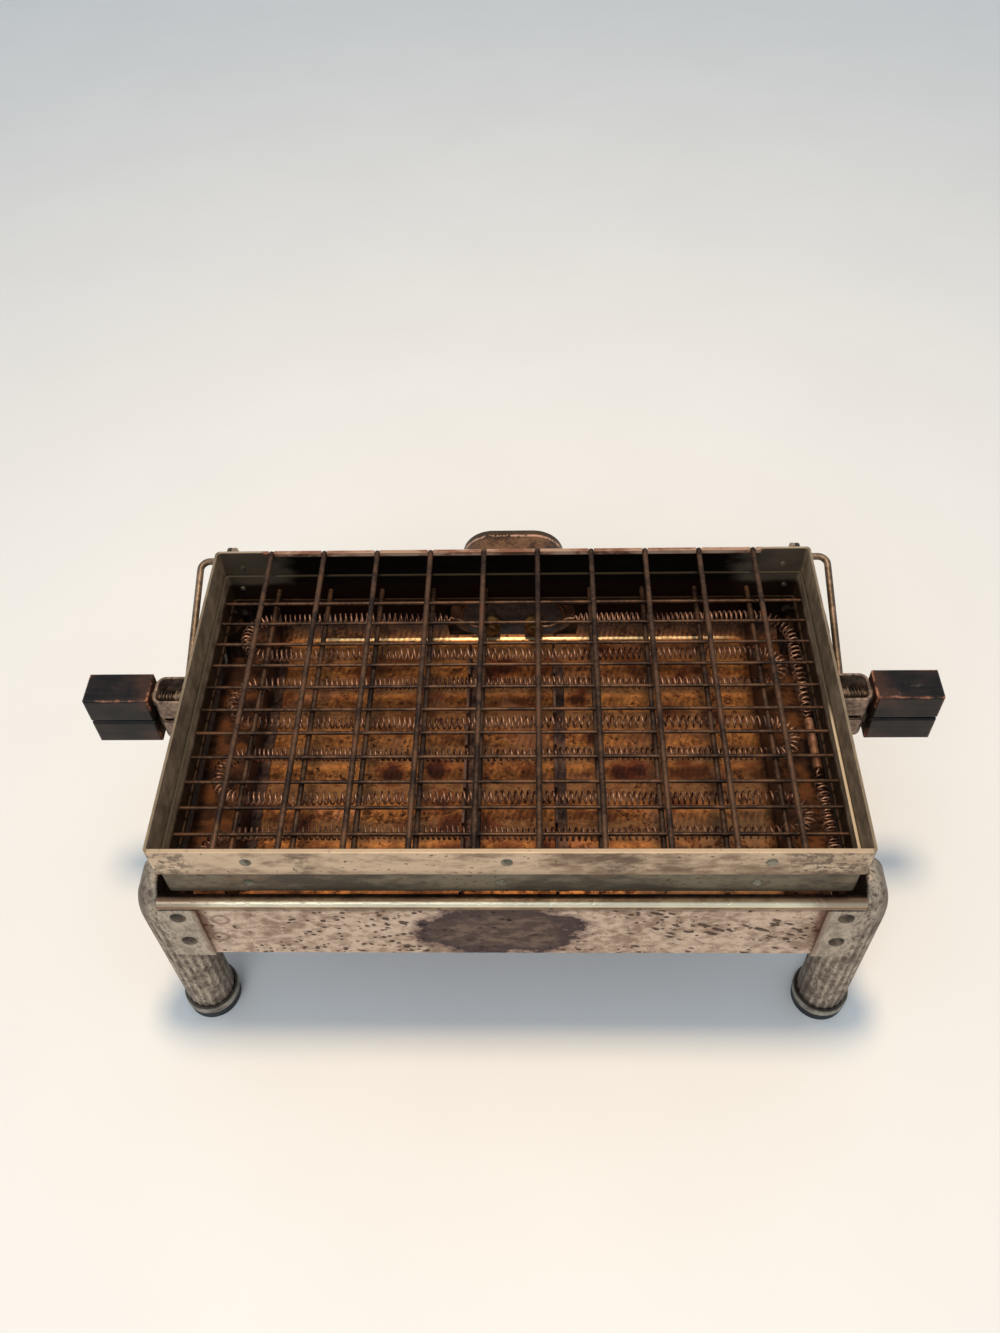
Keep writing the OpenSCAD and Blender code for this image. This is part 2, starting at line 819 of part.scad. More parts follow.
function unit(v) = v / norm(v);
function heading(ps, i) = unit(ps[min(i + 1, len(ps) - 1)] - ps[max(i - 1, 0)]);
function across(t, ref) = unit(ref - (ref * t) * t);
function ring_side(t, u, r, a) = r * (cos(a) * u + sin(a) * cross(t, u));

// One unbroken tube of six sides round the points ps. Each ring's first side faces its own entry of refs
module tube(ps, refs, r) {
    sides = 6;
    n = len(ps);
    rings = [for (i = [0:n - 1]) let (t = heading(ps, i), u = across(t, refs[i]))
        for (k = [0:sides - 1]) ps[i] + ring_side(t, u, r, k * 360 / sides)];
    walls = [for (i = [0:n - 2]) for (k = [0:sides - 1])
        let (a = i * sides + k, b = i * sides + (k + 1) % sides)
            each [[a, b + sides, b], [a, a + sides, b + sides]]];
    first_cap = [for (k = [1:sides - 2]) [0, k, k + 1]];
    last = (n - 1) * sides;
    last_cap = [for (k = [1:sides - 2]) [last, last + k + 1, last + k]];
    polyhedron(points = rings, faces = concat(walls, first_cap, last_cap), convexity = 10);
}

// Least gap of a tube to itself, between points that lie more than the given number of rings apart
function least_gap(ps, d, apart) = let (last = len(ps) - 1)
    min([for (i = [0:last - apart]) min([for (j = [i + apart:last]) norm(ps[i] - ps[j])])]) - d;

// Element: each entry of the route is a place, a heading and how far the wire is wound out, from 0 to 1

function ease(t) = t * t * (3 - 2 * t);
function straight_run(from, to, curls, w0, w1) =
    let (n = round(curls * 8), way = atan2(to[1] - from[1], to[0] - from[0]))
        [for (i = [0:n - 1]) [from + (to - from) * i / n, way, w0 + (w1 - w0) * ease(i / n)]];
function bend_run(mid, r, a0, a1, curls) = let (n = round(curls * 8), way = a1 > a0 ? 90 : -90)
    [for (i = [0:n - 1]) let (a = a0 + (a1 - a0) * i / n) [mid + r * [cos(a), sin(a), 0], a + way, 1]];

function row_start(i) = [i % 2 == 1 ? -row_half : row_half, row_ys[i], coil_z];
function row_end(i) = [i % 2 == 1 ? row_half : -row_half, row_ys[i], coil_z];
function turn_after(i) = let (r = (row_ys[i] - row_ys[i + 1]) / 2, mid = row_end(i) - [0, r, 0])
    i % 2 == 1 ? bend_run(mid, r, 90, -90, 1) : bend_run(mid, r, 90, 270, 1);

function wind_start(way) = [way * (coil_start_x + wind_gap), row_back, coil_z];
function wind_end(way) = [way * (coil_start_x + wind_run), row_back, coil_z];
half_curls = 3;
sleeve_low = sleeve_y - sleeve_l / 2;
sleeve_high = sleeve_y + sleeve_l / 2;
run_low = row_ys[rows - 1] + return_bend;
run_high = row_back - return_bend;
lead_rise = coil_z - shroud_z;
lead_steps = 4;

lead_out = [for (i = [0:lead_steps]) let (t = i / lead_steps, x0 = lead_x + lead_run)
    [[x0 + (coil_start_x - x0) * t, row_back, shroud_z + lead_rise * ease(t)], 0, 0]];
route = concat(
    [[[-lead_x, row_back, shroud_z], 180, 0]],
    [for (p = lead_out) [[-p[0][0], p[0][1], p[0][2]], 180, 0]],
    straight_run(wind_start(-1), wind_end(-1), 1, 0, 1),
    straight_run(wind_end(-1), row_end(0), half_curls - 1, 1, 1),
    turn_after(0),
    [for (i = [1:rows - 1]) each concat(
        straight_run(row_start(i), row_end(i), row_curls, 1, 1),
        i < rows - 1 ? turn_after(i) : [])],
    bend_run([row_half, run_low, coil_z], return_bend, -90, 0, 1),
    straight_run([return_x, run_low, coil_z], [return_x, sleeve_low, coil_z], 1.5, 1, 0),
    straight_run([return_x, sleeve_low, coil_z], [return_x, sleeve_high, coil_z], 0.25, 0, 0),
    straight_run([return_x, sleeve_high, coil_z], [return_x, run_high, coil_z], 1.5, 0, 1),
    bend_run([row_half, run_high, coil_z], return_bend, 0, 90, 1),
    straight_run([row_half, row_back, coil_z], wind_end(1), half_curls - 1, 1, 1),
    straight_run(wind_end(1), wind_start(1), 1, 1, 0),
    [for (i = [lead_steps:-1:0]) lead_out[i]],
    [[[lead_x, row_back, shroud_z], 180, 0]]);

function wound_point(p, i) = let (a = i * 45)
    p[0] + coil_r * p[2] * [-sin(p[1]) * cos(a), cos(p[1]) * cos(a), sin(a)];
coil_points = [for (i = [0:len(route) - 1]) wound_point(route[i], i)];
echo(element_least_gap = least_gap(coil_points, coil_wire_d, 6), element_rings = len(coil_points));

module heating_coil() {
    placed() color(element) tube(coil_points, [for (p = coil_points) [0, 0, 1]], coil_wire_d / 2);
}

module coil_sleeve() {
    placed() color(copper) translate([return_x, sleeve_low, coil_z]) difference() {
        rod_y(sleeve_l, sleeve_d / 2);
        translate([0, -cut, 0]) rod_y(sleeve_l + 2 * cut, coil_wire_d / 2 + sleeve_fit);
    }
}

// Plug inlet

module plug_shroud() {
    y0 = back_y - shroud_in;
    placed() color(copper) {
        difference() {
            translate([0, y0, shroud_z]) stadium_y(shroud_in + shroud_out, shroud_w, shroud_h);
            translate([0, y0 - cut, shroud_z]) stadium_y(shroud_in + shroud_out + 2 * cut,
                shroud_w - 2 * shroud_t, shroud_h - 2 * shroud_t);
        }
        intersection() {
            translate([0, tray_in_y - tab_t, shroud_z]) difference() {
                stadium_y(tab_t, shroud_w + 2 * shroud_flange, shroud_h);
                translate([0, -cut, 0])
                    stadium_y(tab_t + 2 * cut, shroud_w - shroud_t, shroud_h - shroud_t);
            }
            translate([-shroud_w, 0, 0]) cube([2 * shroud_w, back_y, bead_z - bead_d / 2 - seat]);
        }
    }
}

module inlet_block() {
    placed() color(porcelain) translate([0, inlet_y, shroud_z]) difference() {
        stadium_y(inlet_t, shroud_w - 2 * shroud_t - 2 * seat, shroud_h - 2 * shroud_t - 2 * seat);
        for (x = [-1, 1])
            translate([x * pin_gap / 2, -cut, 0]) rod_y(inlet_t + 2 * cut, pin_d / 2 + seat);
    }
}

// A contact pin with a collar against the back of the block and a rounded end
module inlet_pin(way) {
    tip_r = pin_d / 2;
    collar_t = 1.2;
    placed() color(brass) translate([way * pin_gap / 2, inlet_y - pin_in, shroud_z]) {
        rod_y(pin_in + inlet_t + pin_l - tip_r, pin_d / 2);
        translate([0, pin_in + inlet_t, 0]) rod_y(collar_t, pin_d / 2 + 1);
        translate([0, pin_in + inlet_t + pin_l - tip_r, 0]) sphere(tip_r);
    }
}

module inlet_pin_left() {
    inlet_pin(-1);
}

module inlet_pin_right() {
    inlet_pin(1);
}

// A six-sided nut and a washer on the front end of each pin, where the element's ends are held
module inlet_nuts() {
    placed() color(brass) for (x = [-1, 1]) translate([x * pin_gap / 2, nut_y, shroud_z]) difference() {
        union() {
            rotate([-90, 0, 0]) linear_extrude(nut_t)
                polygon([for (a = [30:60:330]) nut_w / 2 / cos(30) * [cos(a), sin(a)]]);
            translate([0, nut_t, 0]) rod_y(inlet_y - nut_y - nut_t, nut_w / 2 - 0.3);
        }
        translate([0, -cut, 0]) rod_y(nut_t + inlet_y - nut_y + cut, pin_d / 2 + seat / 2);
    }
}

// Bail, drawn flat: pivots on the X axis, hinge wire at y = arm_l

module quarter_bend(r) {
    rotate_extrude(angle = 90) translate([r, 0]) circle(bail_d / 2);
}

module half_bail() {
    pin_end_x = side_face_x - bush_in - cap_gap;
    translate([pin_end_x, 0, 0]) rod_x(arm_x - pivot_bend - pin_end_x, bail_d / 2);
    translate([arm_x - pivot_bend, pivot_bend, 0]) rotate([0, 0, -90]) quarter_bend(pivot_bend);
    translate([arm_x, pivot_bend, 0]) rod_y(arm_l - bail_bend - pivot_bend, bail_d / 2);
    translate([arm_x - bail_bend, arm_l - bail_bend, 0]) quarter_bend(bail_bend);
    translate([0, arm_l, 0]) rod_x(arm_x - bail_bend, bail_d / 2);
}

module bail() {
    placed() color(dark_steel) translate([0, 0, pivot_z]) rotate([arm_rise, 0, 0]) both_sides() half_bail();
}

// Push-on caps that keep the bail's ends in their bushes
module bail_caps() {
    x = side_face_x - bush_in - cap_gap - cap_t;
    placed() color(brass) both_sides() translate([x, 0, pivot_z]) rod_x(cap_t, cap_r);
}

// Cage frames

// A rectangular band of sheet with a folded hem along its open edge
module band(w, d, h, hem_z) {
    difference() {
        linear_extrude(h) round_rect(w, d, cage_r);
        translate([0, 0, -cut]) linear_extrude(h + 2 * cut)
            round_rect(w - 2 * (cage_t + hem_t), d - 2 * (cage_t + hem_t), cage_r - 0.5);
        translate([0, 0, hem_z > 0 ? -cut : hem_h]) linear_extrude(h - hem_h + cut)
            round_rect(w - 2 * cage_t, d - 2 * cage_t, cage_r - 0.5);
    }
}

// Where the upper frame's rim has no hem: along both sides, and round the back corners
module plain_rim_space() {
    translate([0, 0, mid_z - cut]) linear_extrude(upper_h + 2 * cut) intersection() {
        round_rect(cage_w - 2 * cage_t, cage_d - 2 * cage_t, cage_r - 0.5);
        for (way = [-1, 1])
            translate([way * (back_hem_x + cage_w / 2), cage_t + hem_t]) square([cage_w, cage_d], center = true);
    }
}

// The wires' back ends lie in notches of the back rim, and their front ends meet the front hem
module upper_frame() {
    placed() color(nickel) difference() {
        translate([0, 0, mid_z]) band(cage_w, cage_d, upper_h, 1);
        plain_rim_space();
        for (x = thick_xs)
            translate([x, 0, thick_up_z]) {
                rod_y(cage_d / 2 + cut, thick_d / 2 + wire_fit);
                translate([-thick_d / 2 - wire_fit, 0, 0])
                    cube([thick_d + 2 * wire_fit, cage_d / 2 + cut, rim_z]);
            }
        front_rivet_places(cage_d, upper_rivet_z) rivet_hole();
        upper_ear_rivet_places() rivet_hole();
    }
}

module lower_frame() {
    placed() color(nickel) difference() {
        translate([0, 0, cage_z]) band(lower_w, lower_d, lower_h, 0);
        for (y = thin_ys)
            translate([-lower_w / 2 - cut, y, thin_z]) rod_x(lower_w + 2 * cut, thin_d / 2 + wire_fit);
        lower_front_rivet_places() rivet_hole();
        lower_ear_rivet_places() rivet_hole();
    }
}

module upper_wires() {
    front_in = cage_t + hem_t + wire_fit;
    placed() color(wire_steel) for (x = thick_xs)
        translate([x, front_in - cage_d / 2, thick_up_z]) rod_y(cage_d - front_in, thick_d / 2);
}

// The lower thick wires stand between the walls, under the thin ones
module lower_thick_wires() {
    half_l = lower_d / 2 - cage_t - wire_fit;
    placed() color(wire_steel) for (x = thick_xs)
        translate([x, -half_l, thick_low_z]) rod_y(2 * half_l, thick_d / 2);
}

module lower_thin_wires() {
    placed() color(wire_steel) for (y = thin_ys)
        translate([-lower_w / 2, y, thin_z]) rod_x(lower_w, thin_d / 2);
}

// Rivets: each child is drawn along +X, away from the sheet's outer face at x = 0
module front_rivet_places(d, z) {
    for (x = front_rivet_xs)
        translate([x, -d / 2, z]) rotate([0, 0, -90]) children();
}

module lower_front_rivet_places() {
    translate([-lower_rivet_shift, 0, 0]) front_rivet_places(lower_d, lower_rivet_z) children();
}

module back_rivet_places(x, d, z) {
    for (way = [-1, 1])
        translate([way * x, d / 2, z]) rotate([0, 0, 90]) children();
}

module upper_ear_rivet_places() {
    back_rivet_places(ear_x - ear_foot * 0.6, cage_d, hinge_z + ear_r - ear_rivet_in) children();
}

module lower_ear_rivet_places() {
    back_rivet_places(lower_ear_x - ear_foot * 0.6, lower_d, hinge_z - ear_r + ear_rivet_in) children();
}

module rivet_hole() {
    translate([-drill_l / 2, 0, 0]) rod_x(drill_l, cage_rivet_shank + seat / 2);
}

module cage_rivet(stack) {
    translate([-cage_t, 0, 0])
        rivet_x(cage_t + stack, cage_rivet_d, cage_rivet_h, cage_rivet_shank, cage_rivet_tail_r);
}

module upper_rivets() {
    placed() color(nickel) {
        front_rivet_places(cage_d, upper_rivet_z) cage_rivet(0);
        upper_ear_rivet_places() cage_rivet(ear_t);
    }
}

module lower_rivets() {
    placed() color(nickel) {
        lower_front_rivet_places() cage_rivet(0);
        lower_ear_rivet_places() cage_rivet(ear_t);
    }
}

// A hinge ear: a plate at x with an eye round the hinge wire, and a foot that lies on the basket's back wall
module ear(x, wall_y, z0, z1) {
    difference() {
        union() {
            translate([x, 0, 0]) rotate([90, 0, 90]) linear_extrude(ear_t) {
                translate([hinge_y, hinge_z]) circle(ear_r);
                polygon([[wall_y, z0], [hinge_y, hinge_z - ear_r > z0 ? hinge_z - ear_r : z0],
                    [hinge_y, hinge_z + ear_r < z1 ? hinge_z + ear_r : z1], [wall_y, z1]]);
            }
            translate([x - ear_foot, wall_y, z0]) cube([ear_foot + ear_t, ear_t, z1 - z0]);
        }
        translate([x - cut, hinge_y, hinge_z]) rod_x(ear_t + 2 * cut, eye_r);
    }
}

module upper_ears() {
    placed() color(nickel) difference() {
        both_sides() ear(ear_x, cage_d / 2, mid_z + ear_edge, rim_z - ear_high);
        upper_ear_rivet_places() rivet_hole();
    }
}

module lower_ears() {
    placed() color(nickel) difference() {
        both_sides() ear(lower_ear_x, lower_d / 2, cage_z + ear_low, mid_z - ear_edge);
        lower_ear_rivet_places() rivet_hole();
    }
}

// Handles, drawn on the right for the upper basket

// Puts a handle piece at one side of one basket
module handle_place(right, up) {
    placed() one_side(right) translate([0, handle_back, mid_z]) mirror([0, 0, up ? 0 : 1]) children();
}

// A strap of sheet bent like a U, whose ends are welded to the basket's side wall
module strap(wall_x) {
    inner_l = web_x - wall_x + strap_r;
    difference() {
        translate([0, 0, bolt_rise - strap_h / 2]) linear_extrude(strap_h) intersection() {
            difference() {
                translate([web_x - inner_l / 2, 0]) round_rect(inner_l, strap_w, strap_r);
                translate([web_x - inner_l / 2, 0])
                    round_rect(inner_l - 2 * strap_t, strap_w - 2 * strap_t, strap_r - strap_t);
            }
            translate([wall_x, -strap_w]) square([2 * strap_out, 2 * strap_w]);
        }
        translate([web_x - 2 * strap_t, 0, bolt_rise]) rod_x(3 * strap_t, bolt_d / 2 + seat);
    }
}

// A bolt with its head and washer inside the strap, and a washer between strap and block
module bolt() {
    translate([0, 0, bolt_rise]) {
        translate([bolt_end_x - bolt_washer_t - bolt_head_h, 0, 0]) rod_x(bolt_head_h, bolt_head_d / 2);
        translate([bolt_end_x - bolt_washer_t, 0, 0]) {
            rod_x(bolt_washer_t, spring_d / 2 + bolt_washer_lap);
            rod_x(block_x + bolt_in - bolt_end_x + bolt_washer_t, bolt_d / 2);
        }
        translate([web_x, 0, 0]) rod_x(washer_t, bolt_d / 2 + block_washer_lap);
    }
}

// Spring wire: a straight start and end along the bolt, with the curls between them
spring_lead = spring_wire_d;
spring_run = spring_l - 2 * spring_lead;
spring_steps = spring_n * 8;
function spring_dir(a) = [0, cos(a), sin(a)];
spring_angles = concat([0], [for (i = [0:spring_steps]) i * 45], [spring_n * 360]);
spring_xs = concat([0], [for (i = [0:spring_steps]) spring_lead + spring_run * i / spring_steps], [spring_l]);
spring_points = [for (i = [0:len(spring_xs) - 1]) [spring_xs[i], 0, 0] + spring_r * spring_dir(spring_angles[i])];
echo(spring_least_gap = least_gap(spring_points, spring_wire_d, 5), spring_rings = len(spring_points));

module spring() {
    translate([bolt_end_x, 0, bolt_rise])
        tube(spring_points, [for (a = spring_angles) spring_dir(a)], spring_wire_d / 2);
}

// A handle block with rounded edges and a hole for its bolt
module block() {
    difference() {
        translate([block_x + block_l / 2, 0, block_rise]) intersection() {
            rotate([90, 0, 90]) linear_extrude(block_l, center = true) round_rect(block_d, block_h, block_r);
            linear_extrude(block_h, center = true) round_rect(block_l, block_d, block_r);
            rotate([90, 0, 0]) linear_extrude(block_d, center = true) round_rect(block_l, block_h, block_r);
        }
        translate([block_x - cut, 0, bolt_rise]) rod_x(bolt_in + cut + seat, bolt_d / 2 + seat);
    }
}

module lower_strap_left() {
    color(nickel) handle_place(false, false) strap(lower_w / 2);
}

module lower_strap_right() {
    color(nickel) handle_place(true, false) strap(lower_w / 2);
}

module lower_bolt_left() {
    color(dark_steel) handle_place(false, false) bolt();
}

module lower_bolt_right() {
    color(dark_steel) handle_place(true, false) bolt();
}

module lower_spring_left() {
    color(dark_steel) handle_place(false, false) spring();
}

module lower_spring_right() {
    color(dark_steel) handle_place(true, false) spring();
}

module lower_block_left() {
    color(black_wood) handle_place(false, false) block();
}

module lower_block_right() {
    color(black_wood) handle_place(true, false) block();
}

module upper_strap_left() {
    color(nickel) handle_place(false, true) strap(cage_w / 2);
}

module upper_strap_right() {
    color(nickel) handle_place(true, true) strap(cage_w / 2);
}

module upper_bolt_left() {
    color(dark_steel) handle_place(false, true) bolt();
}

module upper_bolt_right() {
    color(dark_steel) handle_place(true, true) bolt();
}

module upper_spring_left() {
    color(dark_steel) handle_place(false, true) spring();
}

module upper_spring_right() {
    color(dark_steel) handle_place(true, true) spring();
}

module upper_block_left() {
    color(black_wood) handle_place(false, true) block();
}

module upper_block_right() {
    color(black_wood) handle_place(true, true) block();
}

front_panel();
back_panel();
left_panel();
right_panel();
leg_front_left();
leg_front_right();
leg_back_left();
leg_back_right();
foot_ring_front_left();
foot_ring_front_right();
foot_ring_back_left();
foot_ring_back_right();
foot_pad_front_left();
foot_pad_front_right();
foot_pad_back_left();
foot_pad_back_right();
leg_rivets();
bail_bushes();
reflector();
support_left();
support_mid_left();
support_mid_right();
support_right();
heating_coil();
coil_sleeve();
plug_shroud();
inlet_block();
inlet_pin_left();
inlet_pin_right();
inlet_nuts();
bail();
bail_caps();
lower_frame();
lower_thick_wires();
lower_thin_wires();
lower_ears();
lower_rivets();
lower_strap_left();
lower_strap_right();
lower_bolt_left();
lower_bolt_right();
lower_spring_left();
lower_spring_right();
lower_block_left();
lower_block_right();
upper_frame();
upper_wires();
upper_ears();
upper_rivets();
upper_strap_left();
upper_strap_right();
upper_bolt_left();
upper_bolt_right();
upper_spring_left();
upper_spring_right();
upper_block_left();
upper_block_right();
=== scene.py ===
"""Looks of an electric flip toaster: a wire cage on a swinging bail over an open heating base."""
import json
import math
import random

import bpy
import numpy as np
from mathutils import Matrix, Vector


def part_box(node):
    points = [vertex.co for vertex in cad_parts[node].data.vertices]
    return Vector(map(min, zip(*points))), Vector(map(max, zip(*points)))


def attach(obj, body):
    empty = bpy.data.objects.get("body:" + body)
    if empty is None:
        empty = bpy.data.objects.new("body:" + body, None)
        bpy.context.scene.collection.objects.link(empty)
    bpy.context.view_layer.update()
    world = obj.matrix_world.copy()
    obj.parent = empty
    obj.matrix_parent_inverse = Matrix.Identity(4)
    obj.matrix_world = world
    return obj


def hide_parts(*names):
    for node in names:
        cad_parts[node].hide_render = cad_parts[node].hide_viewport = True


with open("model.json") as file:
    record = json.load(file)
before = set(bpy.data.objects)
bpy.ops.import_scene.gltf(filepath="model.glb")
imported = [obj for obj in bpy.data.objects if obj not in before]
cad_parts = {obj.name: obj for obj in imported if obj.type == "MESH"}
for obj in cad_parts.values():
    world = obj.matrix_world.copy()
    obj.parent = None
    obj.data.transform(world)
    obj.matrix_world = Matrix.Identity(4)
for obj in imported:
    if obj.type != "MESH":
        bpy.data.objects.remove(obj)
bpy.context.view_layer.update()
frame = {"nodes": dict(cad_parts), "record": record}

MM = 0.001

# Places that the pieces and the patterns share, in metres
CAGE_LOW, CAGE_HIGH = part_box("upper_frame")
LOWER_LOW, LOWER_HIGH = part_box("lower_frame")
CAGE_MID_Y = (CAGE_LOW.y + CAGE_HIGH.y) / 2
RIM_Z = CAGE_HIGH.z
CAGE_MID_Z = CAGE_LOW.z
PANEL_LOW, PANEL_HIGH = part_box("front_panel")
BASE_HALF_X = 131.6 * MM
BASE_HALF_Y = 76.1 * MM
BASE_MID_Y = CAGE_MID_Y + 1.5 * MM
RING_LOW, RING_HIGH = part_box("foot_ring_front_right")
LEG_X = (RING_LOW.x + RING_HIGH.x) / 2
LEG_FRONT_Y = (RING_LOW.y + RING_HIGH.y) / 2
LEG_BACK_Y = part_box("foot_ring_back_right")[1].y - (RING_HIGH.y - RING_LOW.y) / 2
TRAY_LOW, TRAY_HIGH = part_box("reflector")


# Camera, as the photograph was taken

def add_camera():
    data = bpy.data.cameras.new("camera")
    data.sensor_fit = "HORIZONTAL"
    data.sensor_width = 36
    data.lens = 40.963
    data.clip_start = 0.01
    camera = bpy.data.objects.new("camera", data)
    bpy.context.scene.collection.objects.link(camera)
    heading = Matrix.Rotation(math.radians(2.838), 4, "Z")
    tilt = Matrix.Rotation(math.radians(90 - 50.472), 4, "X")
    roll = Matrix.Rotation(math.radians(-2.517), 4, "Z")
    place = Matrix.Translation((0.01035, CAGE_MID_Y - 0.26937, 0.46976))
    camera.matrix_world = place @ heading @ tilt @ roll
    bpy.context.scene.camera = camera


add_camera()


# Shader maths

class Signal:
    """A number that changes over a surface: sums and products of signals add Math nodes."""

    def __init__(self, finish, socket):
        self.finish = finish
        self.socket = socket

    def _math(self, operation, a, b=None):
        values = {0: a} if b is None else {0: a, 1: b}
        return Signal(self.finish, self.finish.node("ShaderNodeMath", {"operation": operation}, values).outputs[0])

    def __add__(self, other):
        return self._math("ADD", self, other)

    __radd__ = __add__

    def __sub__(self, other):
        return self._math("SUBTRACT", self, other)

    def __rsub__(self, other):
        return self._math("SUBTRACT", other, self)

    def __mul__(self, other):
        return self._math("MULTIPLY", self, other)

    __rmul__ = __mul__

    def __truediv__(self, other):
        return self._math("DIVIDE", self, other)

    def __abs__(self):
        return self._math("ABSOLUTE", self)

    def at_least(self, other):
        return self._math("MAXIMUM", self, other)

    def at_most(self, other):
        return self._math("MINIMUM", self, other)

    def root(self):
        return self._math("SQRT", self)

    def step(self, low, high):
        """0 below low, 1 above high, smooth between; the other way round when low is above high."""
        ends = (1, 0) if low > high else (0, 1)
        low, high = min(low, high), max(low, high)
        node = self.finish.node("ShaderNodeMapRange", {"interpolation_type": "SMOOTHSTEP"},
                                {"Value": self, "From Min": low, "From Max": high,
                                 "To Min": ends[0], "To Max": ends[1]})
        return Signal(self.finish, node.outputs["Result"])

    def off_row(self, pitch):
        """Distance to the nearest multiple of pitch."""
        node = self.finish.node("ShaderNodeMath", {"operation": "PINGPONG"}, {0: self, 1: pitch / 2})
        return Signal(self.finish, node.outputs[0])

    def band(self, middle, half, soft):
        """1 within half of middle, falling to 0 over soft more."""
        return abs(self - middle).step(half + soft, half)


MIX_A, MIX_B, MIX_COLOUR = 6, 7, 2


class Finish:
    """A material whose colour, gloss and relief are worked out over the surface."""

    def __init__(self, name):
        self.material = bpy.data.materials.new(name)
        self.material.use_nodes = True
        self.tree = self.material.node_tree
        self.shader = self.tree.nodes["Principled BSDF"]
        self.place = self.node("ShaderNodeTexCoord").outputs["Object"]
        split = self.node("ShaderNodeSeparateXYZ", {}, {0: self.place})
        self.x, self.y, self.z = (Signal(self, out) for out in split.outputs)

    def node(self, kind, settings=None, values=None):
        """Adds a node: first its settings, then the values or links of its sockets."""
        node = self.tree.nodes.new(kind)
        for name, value in (settings or {}).items():
            setattr(node, name, value)
        for slot, value in (values or {}).items():
            self.feed(node.inputs[slot], value)
        return node

    def feed(self, slot, value):
        if isinstance(value, Signal):
            self.tree.links.new(value.socket, slot)
        elif hasattr(value, "is_output"):
            self.tree.links.new(value, slot)
        elif slot.type == "RGBA":
            slot.default_value = (*value, 1)
        else:
            slot.default_value = value

    def spread_out(self, size, stretch, seed, turn):
        """Places counted in steps of size metres, longer where stretch is, turned round Y."""
        return self.node("ShaderNodeMapping", {"vector_type": "TEXTURE"}, {
            "Vector": self.place,
            "Scale": [size * s for s in stretch],
            "Location": (seed * 0.731, seed * 0.313, seed * 0.573),
            "Rotation": (0, math.radians(turn), 0)}).outputs[0]

    def noise(self, size, detail=3, roughness=0.55, stretch=(1, 1, 1), seed=0, turn=0):
        """Cloudy noise round 0.5 with blotches about size metres wide."""
        node = self.node("ShaderNodeTexNoise", {}, {
            "Vector": self.spread_out(size, stretch, seed, turn),
            "Scale": 1, "Detail": detail, "Roughness": roughness})
        return Signal(self, node.outputs["Fac"])

    def spots(self, size, share, stretch=(1, 1, 1), seed=0, turn=0):
        """1 in scattered ragged spots: the larger the share, the more of them and the wider they are."""
        cells = self.node("ShaderNodeTexVoronoi", {}, {
            "Vector": self.spread_out(size, stretch, seed, turn), "Scale": 1})
        chance = Signal(self, self.node("ShaderNodeSeparateColor", {}, {0: cells.outputs["Color"]}).outputs[0])
        ragged = self.noise(size * 0.45, 3, 0.65, stretch, seed + 1, turn)
        reach = (chance + share - 1) * 0.6 + (ragged - 0.5) * 0.5
        return (reach - Signal(self, cells.outputs["Distance"])).step(0, 0.08)

    def round_spot(self, x, z, radius, soft, waver=0.0, y=None):
        """1 inside a round place of the x and z plane, or of x and y where y is given."""
        across = self.x - x
        along = self.z - z if y is None else self.y - y
        return ((across * across + along * along).root() + waver).step(radius + soft, radius)

    def mix(self, a, b, share):
        """Colour a where share is 0, colour b where it is 1."""
        return self.node("ShaderNodeMix", {"data_type": "RGBA"}, {0: share, MIX_A: a, MIX_B: b}).outputs[MIX_COLOUR]

    def relief(self, height, depth):
        """Bumps of the surface, depth metres from the lowest to the highest."""
        bump = self.node("ShaderNodeBump", {}, {"Distance": depth, "Height": height})
        self.feed(self.shader.inputs["Normal"], bump.outputs[0])

    def done(self, colour, roughness, metallic):
        self.feed(self.shader.inputs["Base Color"], colour)
        self.feed(self.shader.inputs["Roughness"], roughness)
        self.feed(self.shader.inputs["Metallic"], metallic)
        return self.material


def srgb(red, green, blue):
    """A colour as it looks on a screen, 0 to 255, in Blender's linear values."""
    def linear(v):
        v /= 255
        return v / 12.92 if v <= 0.04045 else ((v + 0.055) / 1.055) ** 2.4
    return linear(red), linear(green), linear(blue)


# Finishes

TAB_SIDE_BROWN = srgb(92, 48, 28)
BEAD_LOW = 94.6 * MM
TAB_EDGE = 115 * MM
STAIN_X, STAIN_Z = -2.6 * MM, 77.5 * MM
STAIN_HALF_W, STAIN_HALF_H = 30.5 * MM, 17.5 * MM
ROLL_DOTS = (-25.1 * MM, 15.3 * MM, 47.1 * MM)
WELDS = ((-107.6 * MM, 86.2 * MM), (-110.4 * MM, 72.6 * MM))


